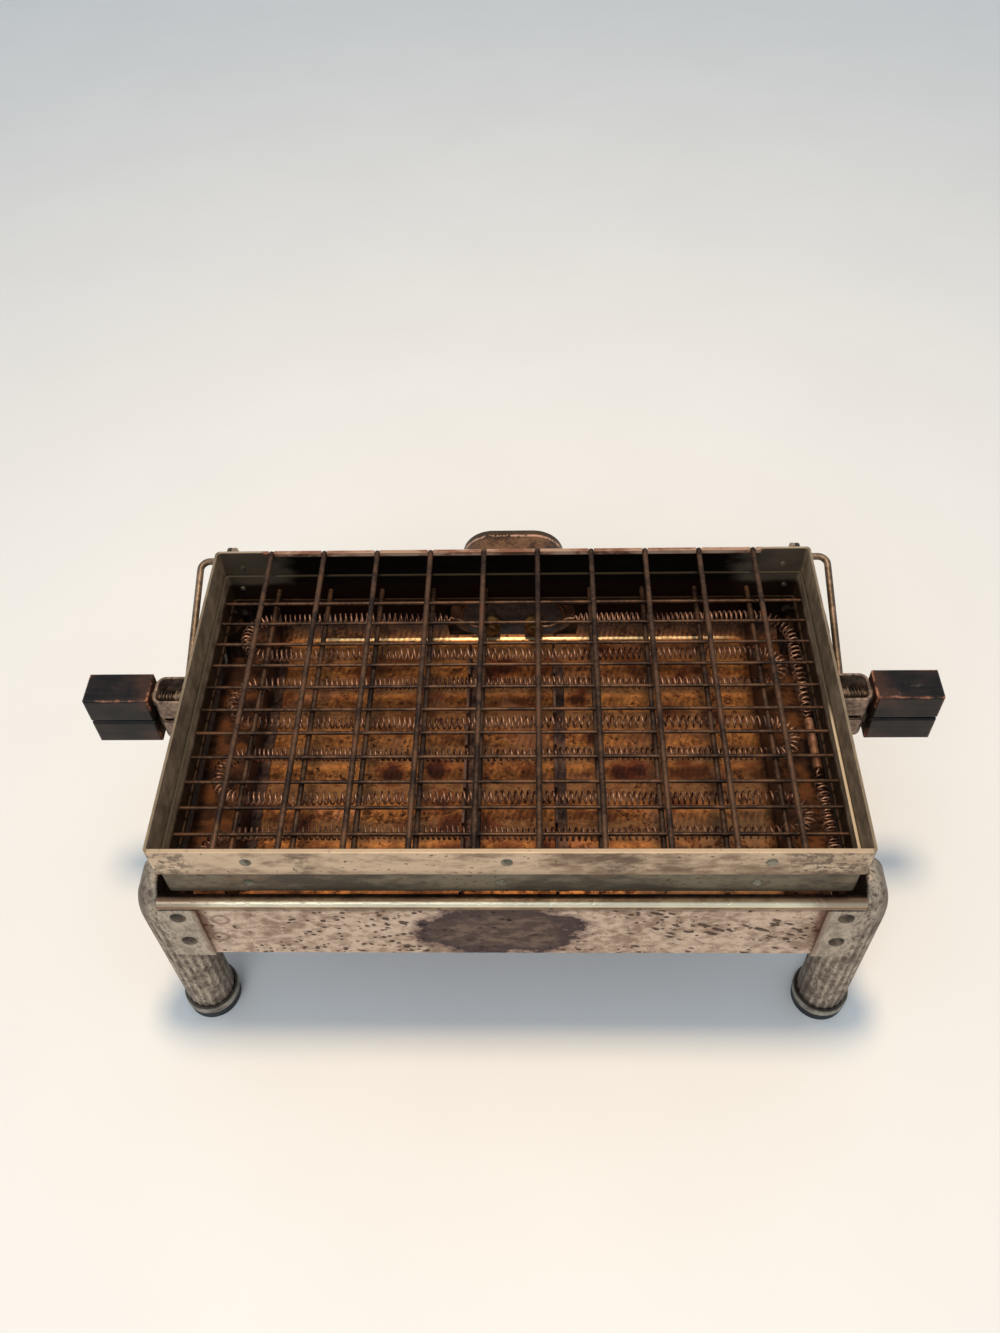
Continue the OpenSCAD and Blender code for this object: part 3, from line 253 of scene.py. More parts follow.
def base_nickel(name, stained):
    """Old nickel plate on the base: pinkish beige with pits, painted shade inside, a painted highlight on the bead;
    one panel has a burnt stain.
    """
    f = Finish(name)
    clouds = f.noise(26 * MM, 4, 0.6)
    mottle = f.noise(3.2 * MM, 4, 0.65, (1.3, 1, 1), 2)
    plate = f.mix(srgb(146, 120, 99), srgb(210, 186, 165), (clouds * 0.5 + mottle * 0.65).step(0.44, 0.68))
    patches = f.noise(15 * MM, 3, 0.6, (1.6, 1, 1), 5)
    fine = f.noise(1.6 * MM, 3, 0.6, (1.3, 1, 1), 1)
    crowd = patches.step(0.4, 0.62)
    if stained:
        crowd = crowd.at_least(abs(f.x + 41 * MM).step(18 * MM, 4 * MM))
    right = f.x.step(20 * MM, 60 * MM)
    dots = f.spots(2.2 * MM, 0.45 + crowd * 0.4, (1.2, 1, 1), 1)
    wide_dots = f.spots(4.6 * MM, 0.3 + crowd * 0.4, (1.3, 1, 1), 15)
    dashes = f.spots(2.6 * MM, 0.2 + right * 0.35 + crowd * right * 0.45, (2.6, 1, 1), 7, 28)
    pits = dots.at_least(wide_dots).at_least(dashes)
    halo = f.spots(5.2 * MM, 0.4 + crowd * 0.5, (1.4, 1, 1), 23)
    plate = f.mix(plate, srgb(136, 104, 82), halo * 0.5)
    plate = f.mix(plate, srgb(74, 52, 41), pits * 0.85)
    freckles = f.noise(0.8 * MM, 2, 0.5, (1, 1, 1), 12).step(0.6, 0.7)
    plate = f.mix(plate, srgb(120, 96, 82), freckles * 0.45)
    rough = 0.4 + clouds * 0.2 + pits * 0.25
    if stained:
        edge = f.noise(9 * MM, 6, 0.72, (1.3, 1, 1), 9)
        across = (f.x - STAIN_X) / STAIN_HALF_W
        up = (f.z - STAIN_Z) / STAIN_HALF_H
        oval = across * across + up * up * 0.8 + (edge - 0.5) * 2.3
        fringe = oval.step(1.45, 0.95)
        plate = f.mix(plate, srgb(120, 92, 84), fringe * 0.7)
        blotches = f.noise(5 * MM, 5, 0.7, (1.6, 1, 1), 4)
        middle = f.mix(srgb(78, 60, 53), srgb(120, 98, 84), blotches.step(0.42, 0.62))
        burnt = f.mix(srgb(64, 47, 47), middle, oval.step(0.85, 0.35))
        plate = f.mix(plate, burnt, oval.step(1.05, 0.9) * 0.93)
        rough = rough + fringe * 0.12
        hole = f.round_spot(-0.1 * MM, 86.3 * MM, 0.7 * MM, 0.7 * MM).at_least(
            f.round_spot(-2.4 * MM, 86.9 * MM, 0.3 * MM, 1.2 * MM) * 0.7)
        plate = f.mix(plate, srgb(22, 16, 16), hole)
        for x, z in WELDS:
            away = (f.x - x) * (f.x - x) + (f.z - z) * (f.z - z)
            ring = away.root().band(3.1 * MM, 0.35 * MM, 0.8 * MM)
            plate = f.mix(plate, srgb(104, 78, 62), ring * 0.6)
    # The panel turns darker red-brown just inside the leg tabs, more towards the top.
    by_tab = (abs(f.x) + (mottle - 0.5) * (9 * MM)).step(TAB_EDGE - 4.5 * MM, TAB_EDGE - 1.5 * MM)
    plate = f.mix(plate, TAB_SIDE_BROWN, by_tab * f.z.step(60 * MM, 80 * MM) * 0.85)
    # Painted shade in the crease just under the bead.
    under = f.z.band(BEAD_LOW - 0.6 * MM, 0.4 * MM, 1.2 * MM)
    plate = f.mix(plate, srgb(92, 70, 56), under * 0.5)
    bead = f.mix(srgb(110, 84, 60), srgb(152, 124, 92), (clouds * 0.6 + mottle * 0.4).step(0.4, 0.62))
    # Painted highlight: a pale cream line along the front of the bead, brighter in patches.
    rubbed = f.z.band(99.3 * MM, 0.35 * MM, 0.7 * MM)
    bead = f.mix(bead, srgb(255, 240, 206), rubbed * (0.5 + clouds * 0.6).at_most(0.95))
    ends = (abs(f.x) + (mottle - 0.5) * (24 * MM)).step(100 * MM, 116 * MM)
    bead = f.mix(bead, srgb(132, 98, 76), ends * 0.6)
    for x in ROLL_DOTS:
        bead = f.mix(bead, srgb(30, 22, 20), f.round_spot(x, 97.2 * MM, 0.6 * MM, 0.5 * MM))
    on_bead = f.z.step(BEAD_LOW - 0.3 * MM, BEAD_LOW + 0.2 * MM)
    outer = f.mix(plate, bead, on_bead)
    # Painted shade: the inner faces of the base and the inner half of the bead turn mottled dark brown.
    wall = (abs(f.x) - BASE_HALF_X).at_least(abs(f.y - BASE_MID_Y) - BASE_HALF_Y)
    inside = (wall.step(-0.3 * MM, -0.7 * MM) * (1 - on_bead)).at_least(wall.step(-0.9 * MM, -2.2 * MM))
    painted_shade_inside = f.mix(srgb(30, 18, 13), srgb(84, 56, 38), (clouds * 0.5 + mottle * 0.6).step(0.42, 0.72))
    colour = f.mix(outer, painted_shade_inside, inside)
    rough = rough * (1 - on_bead) + (0.28 + clouds * 0.12) * on_bead
    f.relief(fine.step(0.72, 0.55) * 0.5 + mottle * 0.3 * (1 - on_bead) + pits * -0.4, 0.14 * MM)
    return f.done(colour, rough + inside * 0.3, 0.72 + inside * 0.2)


def leg_nickel(name, light):
    """Dull mottled plate on the legs, darker in the flutes, a little dirt round the foot ring, painted shade under
    and inside the base and on the bend.
    """
    f = Finish(name)
    clouds = f.noise(12 * MM, 4, 0.6)
    mottle = f.noise(2.6 * MM, 4, 0.65, (1, 1, 1.8), 3)
    colour = f.mix(srgb(104, 88, 76), light, (clouds * 0.5 + mottle * 0.65).step(0.42, 0.7))
    specks = (f.noise(1.3 * MM, 3, 0.6, (1, 1, 2.4), 6) + clouds * 0.3).step(0.69, 0.78)
    colour = f.mix(colour, srgb(74, 56, 46), specks * 0.7)
    mid_y = (LEG_FRONT_Y + LEG_BACK_Y) / 2
    dx = abs(f.x) - LEG_X
    dy = abs(f.y - mid_y) - (LEG_BACK_Y - LEG_FRONT_Y) / 2
    radius = (dx * dx + dy * dy).root()
    groove = radius.step(9.98 * MM, 9.66 * MM) * f.z.step(84 * MM, 80 * MM) * radius.step(8.9 * MM, 9.3 * MM)
    colour = f.mix(colour, srgb(84, 70, 58), groove * 0.35)
    # Painted shade on the leg's inner side below the base.
    inner = (dx + dy * 0.4 + mottle * (4 * MM)).step(-1 * MM, -8 * MM) * f.z.step(60 * MM, 55 * MM)
    colour = f.mix(colour, srgb(84, 68, 54), inner * 0.5)
    # Painted shade on the outer side of the leg's bend, near the top.
    bend = (abs(f.x) - LEG_X - 2 * MM + (mottle - 0.5) * (3 * MM)).step(0, 4 * MM) * f.z.step(70 * MM, 84 * MM)
    colour = f.mix(colour, srgb(84, 68, 54), bend * 0.6)
    seat = f.z.step(12 * MM, 8.6 * MM)
    colour = f.mix(colour, srgb(66, 56, 46), seat * 0.6)
    on_tab = (LEG_X - 1 * MM - abs(f.x)).step(0, 3 * MM) * f.z.step(58 * MM, 60 * MM)
    colour = f.mix(colour, light, on_tab * 0.35)
    tab = (TAB_EDGE + 2 * MM - abs(f.x) + (mottle - 0.5) * (5 * MM)).step(0, 1.5 * MM)
    colour = f.mix(colour, srgb(112, 74, 54), tab * f.z.step(58 * MM, 62 * MM) * 0.6)
    # Painted shade: the part of the leg inside the base turns near-black brown.
    wall = (abs(f.x) - BASE_HALF_X).at_least(abs(f.y - BASE_MID_Y) - BASE_HALF_Y)
    in_base = wall.step(-1.5 * MM, -3.5 * MM) * f.z.step(58.5 * MM, 59.5 * MM)
    colour = f.mix(colour, srgb(52, 32, 20), in_base)
    rough = 0.44 + clouds * 0.2 + groove * 0.2 + in_base * 0.2
    f.relief(mottle * 0.6 + clouds * 0.4, 0.12 * MM)
    return f.done(colour, rough, 0.6 + in_base * 0.35)


def foot_nickel():
    """The rings round the feet: smoother and lighter than the legs, dirty at the top edge."""
    f = Finish("foot_nickel")
    clouds = f.noise(5 * MM, 4, 0.6)
    colour = f.mix(srgb(118, 108, 96), srgb(176, 166, 150), clouds.step(0.38, 0.64))
    top = f.z.step(RING_HIGH.z - 0.9 * MM, RING_HIGH.z)
    colour = f.mix(colour, srgb(60, 50, 42), top * 0.7)
    f.relief(f.noise(1.2 * MM, 3, 0.6), 0.05 * MM)
    return f.done(colour, 0.36 + clouds * 0.2, 0.7)


def cage_nickel(name, half_w, half_d, seed, low, light, light_band, foot_z, foot_shade, lip_share):
    """The cage's sheet: stained nickel outside, sooty inside with painted shade on the inner back wall and low down,
    a painted highlight along the rim.
    """
    f = Finish(name)
    clouds = f.noise(30 * MM, 4, 0.6, (1.5, 1, 1), seed)
    runs = f.noise(7 * MM, 5, 0.65, (2.2, 1, 0.9), seed + 3)
    outside = f.mix(low, light, (clouds * 0.6 + runs * 0.55).step(0.47, 0.67))
    specks = (f.noise(1.8 * MM, 2, 0.6, (1.3, 1, 1), seed + 6) + runs * 0.4).step(0.84, 0.92)
    outside = f.mix(outside, srgb(84, 62, 46), specks * 0.75)
    smears = f.noise(13 * MM, 4, 0.65, (1.8, 1, 0.8), seed + 8).step(0.55, 0.68)
    outside = f.mix(outside, srgb(118, 92, 68), smears * 0.5)
    for x, half, share in light_band:
        zone = (abs(f.x - x) + (runs - 0.5) * (12 * MM)).step(half + 3 * MM, half - 3 * MM)
        grit = f.noise(2.2 * MM, 3, 0.6, (1.4, 1, 1), seed + 9).step(0.46, 0.6)
        outside = f.mix(outside, srgb(92, 74, 60), zone * grit * share)
    side_soot = f.mix(srgb(106, 88, 68), srgb(158, 136, 110), (runs * 0.6 + clouds * 0.5).step(0.42, 0.72))
    wall_x = abs(f.x) - half_w
    wall_y = abs(f.y - CAGE_MID_Y) - half_d
    back = (f.y - CAGE_MID_Y - half_d).step(-1.6 * MM, -0.9 * MM)
    streaks = f.noise(0.9 * MM, 3, 0.5, (14, 1, 1), seed + 5).step(0.6, 0.7)
    # Painted shade on the inner back wall: darker all over and near black in the middle, with faint streaks.
    black = f.mix(srgb(5, 4, 4), srgb(44, 38, 32), streaks * 0.45)
    middle = (abs(f.x) + (runs - 0.5) * (16 * MM)).step(101 * MM, 90 * MM)
    soot_and_shade = f.mix(side_soot, srgb(64, 56, 44), back * 0.8)
    soot_and_shade = f.mix(soot_and_shade, black, back * middle)
    # Painted shade low on the inner walls: dark red-brown towards the bottom.
    deep = (f.z + (runs - 0.5) * (3 * MM)).step(CAGE_MID_Z - 2 * MM, CAGE_MID_Z - 5 * MM)
    soot_and_shade = f.mix(soot_and_shade, srgb(38, 20, 15), deep * 0.8)
    inside = wall_x.at_least(wall_y).step(-0.25 * MM, -0.5 * MM)
    outside = f.mix(outside, low, (f.z - foot_z).step(4 * MM, 0) * foot_shade)
    colour = f.mix(outside, soot_and_shade, inside)
    # Painted highlight along the top edge of the rim, paler on the front and back than on the sides; along the back
    # hem it takes the rubbed copper colour instead.
    rim = f.z.step(RIM_Z - 0.4 * MM, RIM_Z - 0.1 * MM)
    folded = f.mix(srgb(158, 104, 82), srgb(206, 166, 140), runs.step(0.42, 0.58))
    at_side = wall_x.step(-2 * MM, -1 * MM)
    painted_rim_highlight = f.mix(srgb(196, 174, 148), srgb(134, 120, 100), at_side)
    hem = (f.y - CAGE_MID_Y).step(60 * MM, 64 * MM) * abs(f.x).step(106 * MM, 104 * MM)
    bright = f.mix(painted_rim_highlight, folded, hem)
    colour = f.mix(colour, bright, rim * 0.7)
    fold = f.z.step(RIM_Z - 2 * MM, RIM_Z - 1.4 * MM) * inside * hem * (1 - rim)
    colour = f.mix(colour, f.mix(srgb(96, 58, 42), folded, runs.step(0.4, 0.5)), fold * 0.85)
    # The lower frame's lip is a dark line, pale along the front half of the right side wall.
    lip = f.z.band(LOWER_HIGH.z, 0.25 * MM, 0.25 * MM)
    pale_lip_right = f.x.step(0, 10 * MM) * (f.y - CAGE_MID_Y).step(2 * MM, -10 * MM) * at_side
    colour = f.mix(colour, f.mix(srgb(70, 62, 50), srgb(196, 176, 148), pale_lip_right), lip * lip_share)
    rough = 0.36 + clouds * 0.18 + inside * 0.22 + specks * 0.2
    f.relief(runs * 0.6 + clouds * 0.5 - specks * 0.3, 0.2 * MM)
    # Metallic rises where the inside is painted near black, so that it reflects hardly anything.
    sooty_and_shaded = inside * (1 - rim)
    return f.done(colour, rough, 0.7 - sooty_and_shaded * 0.45 + sooty_and_shaded * (back * middle).at_least(deep) * 0.7)


def dark_wire(name, dark, light, seed, rub=0.74):
    """Heat-darkened wire with rubbed lighter stretches and rust."""
    f = Finish(name)
    clouds = f.noise(14 * MM, 4, 0.6, (1, 1, 1), seed)
    fine = f.noise(1.6 * MM, 3, 0.6, (1, 1, 1), seed + 2)
    colour = f.mix(dark, light, (clouds * 0.75 + fine * 0.35).step(0.42, rub))
    rust = (clouds * 0.7 + fine * 0.4).step(0.62, 0.7)
    colour = f.mix(colour, srgb(96, 54, 30), rust * 0.55)
    f.relief(fine, 0.08 * MM)
    return f.done(colour, 0.36 + clouds * 0.25, 0.7)


DRIPS = (
    (-48.8, -6.4, 5.0), (-31, -4.5, 4.2), (-28, -19.5, 4.6), (45, -5.5, 4.6), (52, -4, 3.6), (-9.5, 49, 4.2),
    (-3, 51, 4.8), (18, 52, 3.0), (-24, -31, 3.6), (-10, -30, 3.4), (28, 33, 3.2), (86, 22, 3.8), (66, 26, 3.4),
    (-66, 44, 3.0), (14, -40, 3.0), (-84, -30, 4.0), (34, 12, 2.8), (38, 60, 3.0), (74, 44, 3.2),
)
# Painted shade of the element's rows: dull stripes this far behind each row on the tray, where the camera looks past
# the row.
ROW_SHADE_SHIFT = 9.1 * MM


def burnt_reflector():
    """Steel tray under the element: orange-brown scale between the rows, painted shade under them, at the sides and
    up the walls, a painted highlight along the rear fold, with dark drips.
    """
    f = Finish("burnt_reflector")
    big = f.noise(30 * MM, 4, 0.6, (1.5, 1, 1))
    mid = f.noise(9 * MM, 5, 0.65, (1.3, 1, 1), 2)
    fine = f.noise(2.2 * MM, 4, 0.7, (1, 1, 1), 5)
    depth = f.y - CAGE_MID_Y
    scale = f.mix(srgb(96, 50, 20), srgb(200, 130, 68), (big * 0.45 + mid * 0.65).step(0.44, 0.67))
    pink = (f.noise(18 * MM, 3, 0.6, (1.5, 1, 1), 11)).step(0.54, 0.66)
    scale = f.mix(scale, srgb(182, 120, 84), pink * 0.45)
    # Painted shade under the element's rows: duller, darker stripes across the tray.
    dull = f.mix(srgb(84, 56, 34), srgb(136, 102, 68), (mid * 0.7 + fine * 0.4).step(0.44, 0.66))
    row = (depth - 68 * MM - ROW_SHADE_SHIFT + (big - 0.5) * (5 * MM)).off_row(18.36 * MM)
    share = row.step(6 * MM, 3.4 * MM) * (big * 0.6 + mid * 0.6).step(0.4, 0.6)
    scale = f.mix(scale, dull, share * 0.8)
    corner = (f.x * 0.8 - depth + (mid - 0.5) * (40 * MM)).step(70 * MM, 110 * MM)
    scale = f.mix(scale, srgb(108, 86, 62), corner * 0.55)
    rusty = (mid * 0.7 + fine * 0.45).step(0.585, 0.65)
    colour = f.mix(scale, srgb(88, 38, 14), rusty * 0.65)
    waver = (mid - 0.5) * (12 * MM) + (fine - 0.5) * (9 * MM)
    for x, y, radius in DRIPS:
        spread = f.round_spot(x * MM, 0, radius * MM, 3 * MM, waver, CAGE_MID_Y + y * MM)
        core = f.round_spot(x * MM, 0, (radius - 1.6) * MM, 1.2 * MM, waver, CAGE_MID_Y + y * MM)
        colour = f.mix(colour, srgb(96, 40, 14), spread * 0.7)
        colour = f.mix(colour, srgb(56, 20, 7), core * 0.85)
    specks = (fine + mid * 0.3).step(0.73, 0.8)
    colour = f.mix(colour, srgb(46, 21, 12), specks * 0.8)
    # Painted shade along the tray's sides under the side panels, mottled dark brown.
    outer = (abs(f.x) + (mid - 0.5) * (12 * MM)).step(99 * MM, 106 * MM)
    side_shade = f.mix(srgb(54, 27, 13), srgb(104, 60, 28), mid.step(0.42, 0.62))
    colour = f.mix(colour, side_shade, outer * 0.95)
    # Painted shade at the rear, where the tray rises to the back.
    rear_shade = (depth + (mid - 0.5) * (3 * MM)).step(66 * MM, 69 * MM)
    colour = f.mix(colour, srgb(46, 25, 15), rear_shade * 0.8)
    # Painted highlight: a pale line along the fold where the tray starts to rise at the back, shinier there too.
    fold = depth.band(67 * MM, 0.3 * MM, 0.5 * MM) * abs(f.x - 3 * MM).step(100 * MM, 84 * MM)
    colour = f.mix(colour, srgb(250, 224, 172), fold * (mid * 1.6 - 0.1).at_most(1))
    # Painted shade up the tray's turned-up walls.
    wall_shade = (f.z - TRAY_LOW.z).step(4 * MM, 8 * MM)
    colour = f.mix(colour, srgb(34, 19, 13), wall_shade * 0.9)
    rough = 0.34 + mid * 0.3 + rusty * 0.15 - fold * 0.15
    f.relief(mid * 0.5 + fine * 0.5, 0.25 * MM)
    return f.done(colour, rough, 0.7)


def element_wire():
    """Oxidised resistance wire: brown, with greyish pink where it has burnt clean."""
    f = Finish("element_wire")
    clouds = f.noise(20 * MM, 3, 0.6)
    fine = f.noise(3 * MM, 2, 0.5, (1, 1, 1), 3)
    colour = f.mix(srgb(72, 42, 32), srgb(190, 144, 117), (clouds * 0.6 + fine * 0.5).step(0.44, 0.66))
    return f.done(colour, 0.34 + clouds * 0.2, 0.65)


def worn_black():
    """Black lacquer on wood, rubbed through to red-brown at the upper edges and near the cage."""
    f = Finish("worn_black")
    low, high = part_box("upper_block_right")
    mid = (low + high) / 2
    half = (high - low) / 2
    across = abs(abs(f.x) - mid.x) / half.y - (half.x / half.y - 1)
    deep = abs(f.y - mid.y) / half.y
    tall = abs(abs(f.z - CAGE_MID_Z) - (mid.z - CAGE_MID_Z)) / half.z
    second = across.at_most(deep).at_least(across.at_least(deep).at_most(tall))
    chips = f.noise(3 * MM, 4, 0.7)
    patches = f.noise(9 * MM, 2, 0.5, (1, 1, 1), 4)
    outer_edge = (abs(f.z - CAGE_MID_Z) - (mid.z - CAGE_MID_Z)).step(-2 * MM, 1 * MM)
    wear = (second + (chips - 0.5) * 0.3 + (patches - 0.5) * 0.3 + outer_edge * 0.1).step(0.99, 1.07)
    grain = f.noise(1.3 * MM, 3, 0.6, (9, 1, 1), 2)
    black = f.mix(srgb(8, 5, 4), srgb(40, 27, 21), (grain * 0.5 + patches * 0.6).step(0.42, 0.72))
    near = (mid.x - half.x + 9 * MM - abs(f.x) + (patches - 0.5) * (16 * MM)).step(0, 7 * MM) * outer_edge
    black = f.mix(black, srgb(74, 44, 30), near * 0.6)
    bare = f.mix(srgb(104, 54, 32), srgb(176, 116, 84), grain.step(0.35, 0.65))
    colour = f.mix(black, bare, wear * 0.85)
    scuffs = (f.noise(4 * MM, 4, 0.7, (1, 1, 1), 8)).step(0.6, 0.68)
    colour = f.mix(colour, srgb(90, 82, 76), scuffs * 0.3)
    f.relief(grain * 0.4 + (1 - wear) * 0.6, 0.15 * MM)
    return f.done(colour, 0.42 + wear * 0.25 + scuffs * 0.2, (1 - wear) * 0.5)


def browned_copper(name, dark, light):
    """Copper-coloured metal gone brown, with darker blotches."""
    f = Finish(name)
    clouds = f.noise(9 * MM, 4, 0.6)
    fine = f.noise(1.8 * MM, 3, 0.6, (1, 1, 1), 3)
    colour = f.mix(dark, light, (clouds * 0.75 + fine * 0.35).step(0.42, 0.7))
    blotches = (clouds * 0.5 + f.noise(4 * MM, 3, 0.6, (1, 1, 1), 6) * 0.6).step(0.6, 0.7)
    colour = f.mix(colour, srgb(78, 44, 28), blotches * 0.6)
    f.relief(fine, 0.08 * MM)
    return f.done(colour, 0.34 + clouds * 0.22, 0.72)


def strap_metal(name):
    """The handles' straps: browned and mottled on the broad faces, rubbed pale along the edges."""
    f = Finish(name)
    clouds = f.noise(6 * MM, 4, 0.65)
    fine = f.noise(1.6 * MM, 3, 0.6, (1, 1, 1), 3)
    colour = f.mix(srgb(88, 70, 58), srgb(166, 138, 118), (clouds * 0.6 + fine * 0.5).step(0.42, 0.7))
    edge = (abs(f.z - CAGE_MID_Z) + (fine - 0.5) * (0.6 * MM)).step(11.2 * MM, 11.9 * MM)
    colour = f.mix(colour, srgb(206, 178, 156), edge * 0.7)
    f.relief(fine, 0.1 * MM)
    return f.done(colour, 0.38 + clouds * 0.2, 0.7)


def plain_metal(name, dark, light, rough, metallic):
    """Small metal pieces: a dull cloudy surface with fine scratches."""
    f = Finish(name)
    clouds = f.noise(4 * MM, 4, 0.6)
    f.relief(f.noise(1.2 * MM, 3, 0.6), 0.06 * MM)
    return f.done(f.mix(dark, light, clouds.step(0.4, 0.64)), rough + clouds * 0.2, metallic)


def matt_piece(name, dark, light, rough):
    """Ceramic and rubber: matt and slightly dusty."""
    f = Finish(name)
    clouds = f.noise(5 * MM, 4, 0.6)
    f.relief(f.noise(1.2 * MM, 3, 0.6), 0.1 * MM)
    return f.done(f.mix(dark, light, clouds.step(0.4, 0.66)), rough + clouds * 0.1, 0.0)


def burnt_ceramic():
    """The plug inlet's ceramic: cream where the plug goes in, burnt brown inside the base."""
    f = Finish("burnt_ceramic")
    clouds = f.noise(5 * MM, 4, 0.6)
    fine = f.noise(1.2 * MM, 3, 0.6)
    cream = f.mix(srgb(158, 144, 122), srgb(200, 188, 166), clouds.step(0.4, 0.66))
    burnt = f.mix(srgb(38, 26, 20), srgb(84, 62, 48), (clouds * 0.6 + fine * 0.5).step(0.42, 0.7))
    within = (f.y - CAGE_MID_Y + (clouds - 0.5) * (2 * MM)).step(80 * MM, 77 * MM)
    f.relief(fine, 0.1 * MM)
    return f.done(f.mix(cream, burnt, within), 0.62 + clouds * 0.1, 0.0)


def plug_copper():
    """The plug shroud: browned outside with a painted highlight line by the lip, olive brown inside."""
    f = Finish("plug_copper")
    low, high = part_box("plug_shroud")
    clouds = f.noise(8 * MM, 4, 0.6)
    fine = f.noise(1.4 * MM, 3, 0.6, (1, 1, 1), 3)
    colour = f.mix(srgb(70, 45, 29), srgb(134, 94, 64), (clouds * 0.7 + fine * 0.4).step(0.42, 0.7))
    lip = (f.y - high.y + 3 * MM).step(0, 0.8 * MM)
    colour = f.mix(colour, srgb(72, 57, 41), lip * 0.8)
    # Painted highlight: a pale line round the shroud just short of its lip.
    lip_highlight = f.y.band(high.y - 3.4 * MM, 0.3 * MM, 0.6 * MM) * (fine * 0.6 + clouds * 0.5).step(0.46, 0.58)
    colour = f.mix(colour, srgb(236, 180, 146), lip_highlight * 0.8)
    f.relief(fine, 0.1 * MM)
    return f.done(colour, 0.34 + clouds * 0.2, 0.7)


UPPER_STAINS = ((111 * MM, 13 * MM, 0.8), (-118 * MM, 8 * MM, 0.7), (38 * MM, 5 * MM, 0.7), (-71 * MM, 3 * MM, 0.5))
LOWER_STAINS = ((-104 * MM, 22 * MM, 0.6),)
upper_nickel = cage_nickel("upper_nickel", CAGE_HIGH.x, CAGE_HIGH.y - CAGE_MID_Y, 1, srgb(116, 91, 70),
                           srgb(205, 180, 152), UPPER_STAINS, CAGE_LOW.z, 0.35, 0)
# The lower frame takes the cage's nickel in much darker colours, as painted shade.
shaded_lower_nickel = cage_nickel("shaded_lower_nickel", LOWER_HIGH.x, LOWER_HIGH.y - CAGE_MID_Y, 11, srgb(64, 56, 44),
                           srgb(116, 105, 86), LOWER_STAINS, LOWER_LOW.z, 0.8, 1)
plain_base_nickel = base_nickel("base_nickel", False)
FINISHES = {
    "base_nickel": plain_base_nickel,
    "leg_nickel": leg_nickel("leg_nickel", srgb(188, 172, 152)),
    "cage_nickel": upper_nickel,
    "wire_bronze": dark_wire("wire_bronze", srgb(43, 28, 20), srgb(108, 77, 55), 3),
    "bail_steel": dark_wire("bail_steel", srgb(84, 68, 54), srgb(156, 132, 110), 5),
    "reflector_rust": burnt_reflector(),
    "support_steel": dark_wire("support_steel", srgb(48, 32, 27), srgb(104, 78, 68), 7),
    "element_wire": element_wire(),
    "copper_brown": browned_copper("browned_copper", srgb(104, 66, 44), srgb(180, 128, 94)),
    "brass": plain_metal("dull_brass", srgb(92, 68, 42), srgb(154, 120, 76), 0.4, 0.8),
    "insulator": burnt_ceramic(),
    "handle_black": worn_black(),
    "foot_black": matt_piece("foot_black", srgb(14, 15, 16), srgb(40, 42, 44), 0.55),
}
cage_rivet = plain_metal("cage_rivet", srgb(88, 82, 68), srgb(142, 134, 114), 0.36, 0.6)
leg_rivet = plain_metal("leg_rivet", srgb(64, 52, 42), srgb(112, 94, 78), 0.42, 0.6)
foot_ring = foot_nickel()
strap = strap_metal("strap_metal")
spring_steel = dark_wire("spring_steel", srgb(48, 38, 32), srgb(104, 84, 70), 9)
OWN_FINISHES = {
    "front_panel": base_nickel("front_nickel", True),
    "lower_frame": shaded_lower_nickel,
    "lower_ears": shaded_lower_nickel,
    "lower_rivets": cage_rivet,
    "upper_rivets": cage_rivet,
    "leg_rivets": leg_rivet,
    "plug_shroud": plug_copper(),
}
for corner in ("front_left", "front_right", "back_left", "back_right"):
    OWN_FINISHES[f"foot_ring_{corner}"] = foot_ring
for basket in ("lower", "upper"):
    for side in ("left", "right"):
        OWN_FINISHES[f"{basket}_strap_{side}"] = strap


def dress_cad_nodes():
    """Gives every CAD node its finish."""
    for part in frame["record"]["subparts"]:
        node = frame["nodes"][part["node"]]
        node.data.materials.clear()
        node.data.materials.append(OWN_FINISHES.get(part["node"], FINISHES[part["material_slot"]]))


dress_cad_nodes()


# Wound wire

def wound_wire(name, points, radius, sides, finish):
    """A wire of that radius along the points, as one mesh tube."""
    curve = bpy.data.curves.new(name, "CURVE")
    curve.dimensions = "3D"
    curve.bevel_depth = radius
    curve.bevel_resolution = sides
    curve.use_fill_caps = True
    spline = curve.splines.new("POLY")
    spline.points.add(len(points) - 1)
    spline.points.foreach_set("co", [v for p in points for v in (*p, 1)])
    wire = bpy.data.objects.new(name, curve)
    bpy.context.scene.collection.objects.link(wire)
    bpy.ops.object.select_all(action="DESELECT")
    wire.select_set(True)
    bpy.context.view_layer.objects.active = wire
    bpy.ops.object.convert(target="MESH")
    bpy.ops.object.shade_smooth()
    wire.data.materials.clear()
    wire.data.materials.append(finish)
    return wire


ROWS = 8
ROW_PITCH = 18.357 * MM
ROW_STEP = 2.2 * MM
ROW_BACK = CAGE_MID_Y + 68 * MM
ROW_HALF = 106.5 * MM
SLEEVE_LOW, SLEEVE_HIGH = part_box("coil_sleeve")
RETURN_X = (SLEEVE_LOW.x + SLEEVE_HIGH.x) / 2
COIL_Z = (SLEEVE_LOW.z + SLEEVE_HIGH.z) / 2
LEAD_Z = (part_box("inlet_nuts")[0].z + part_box("inlet_nuts")[1].z) / 2
NUT_X = 13.5 * MM
COIL_START = 26 * MM


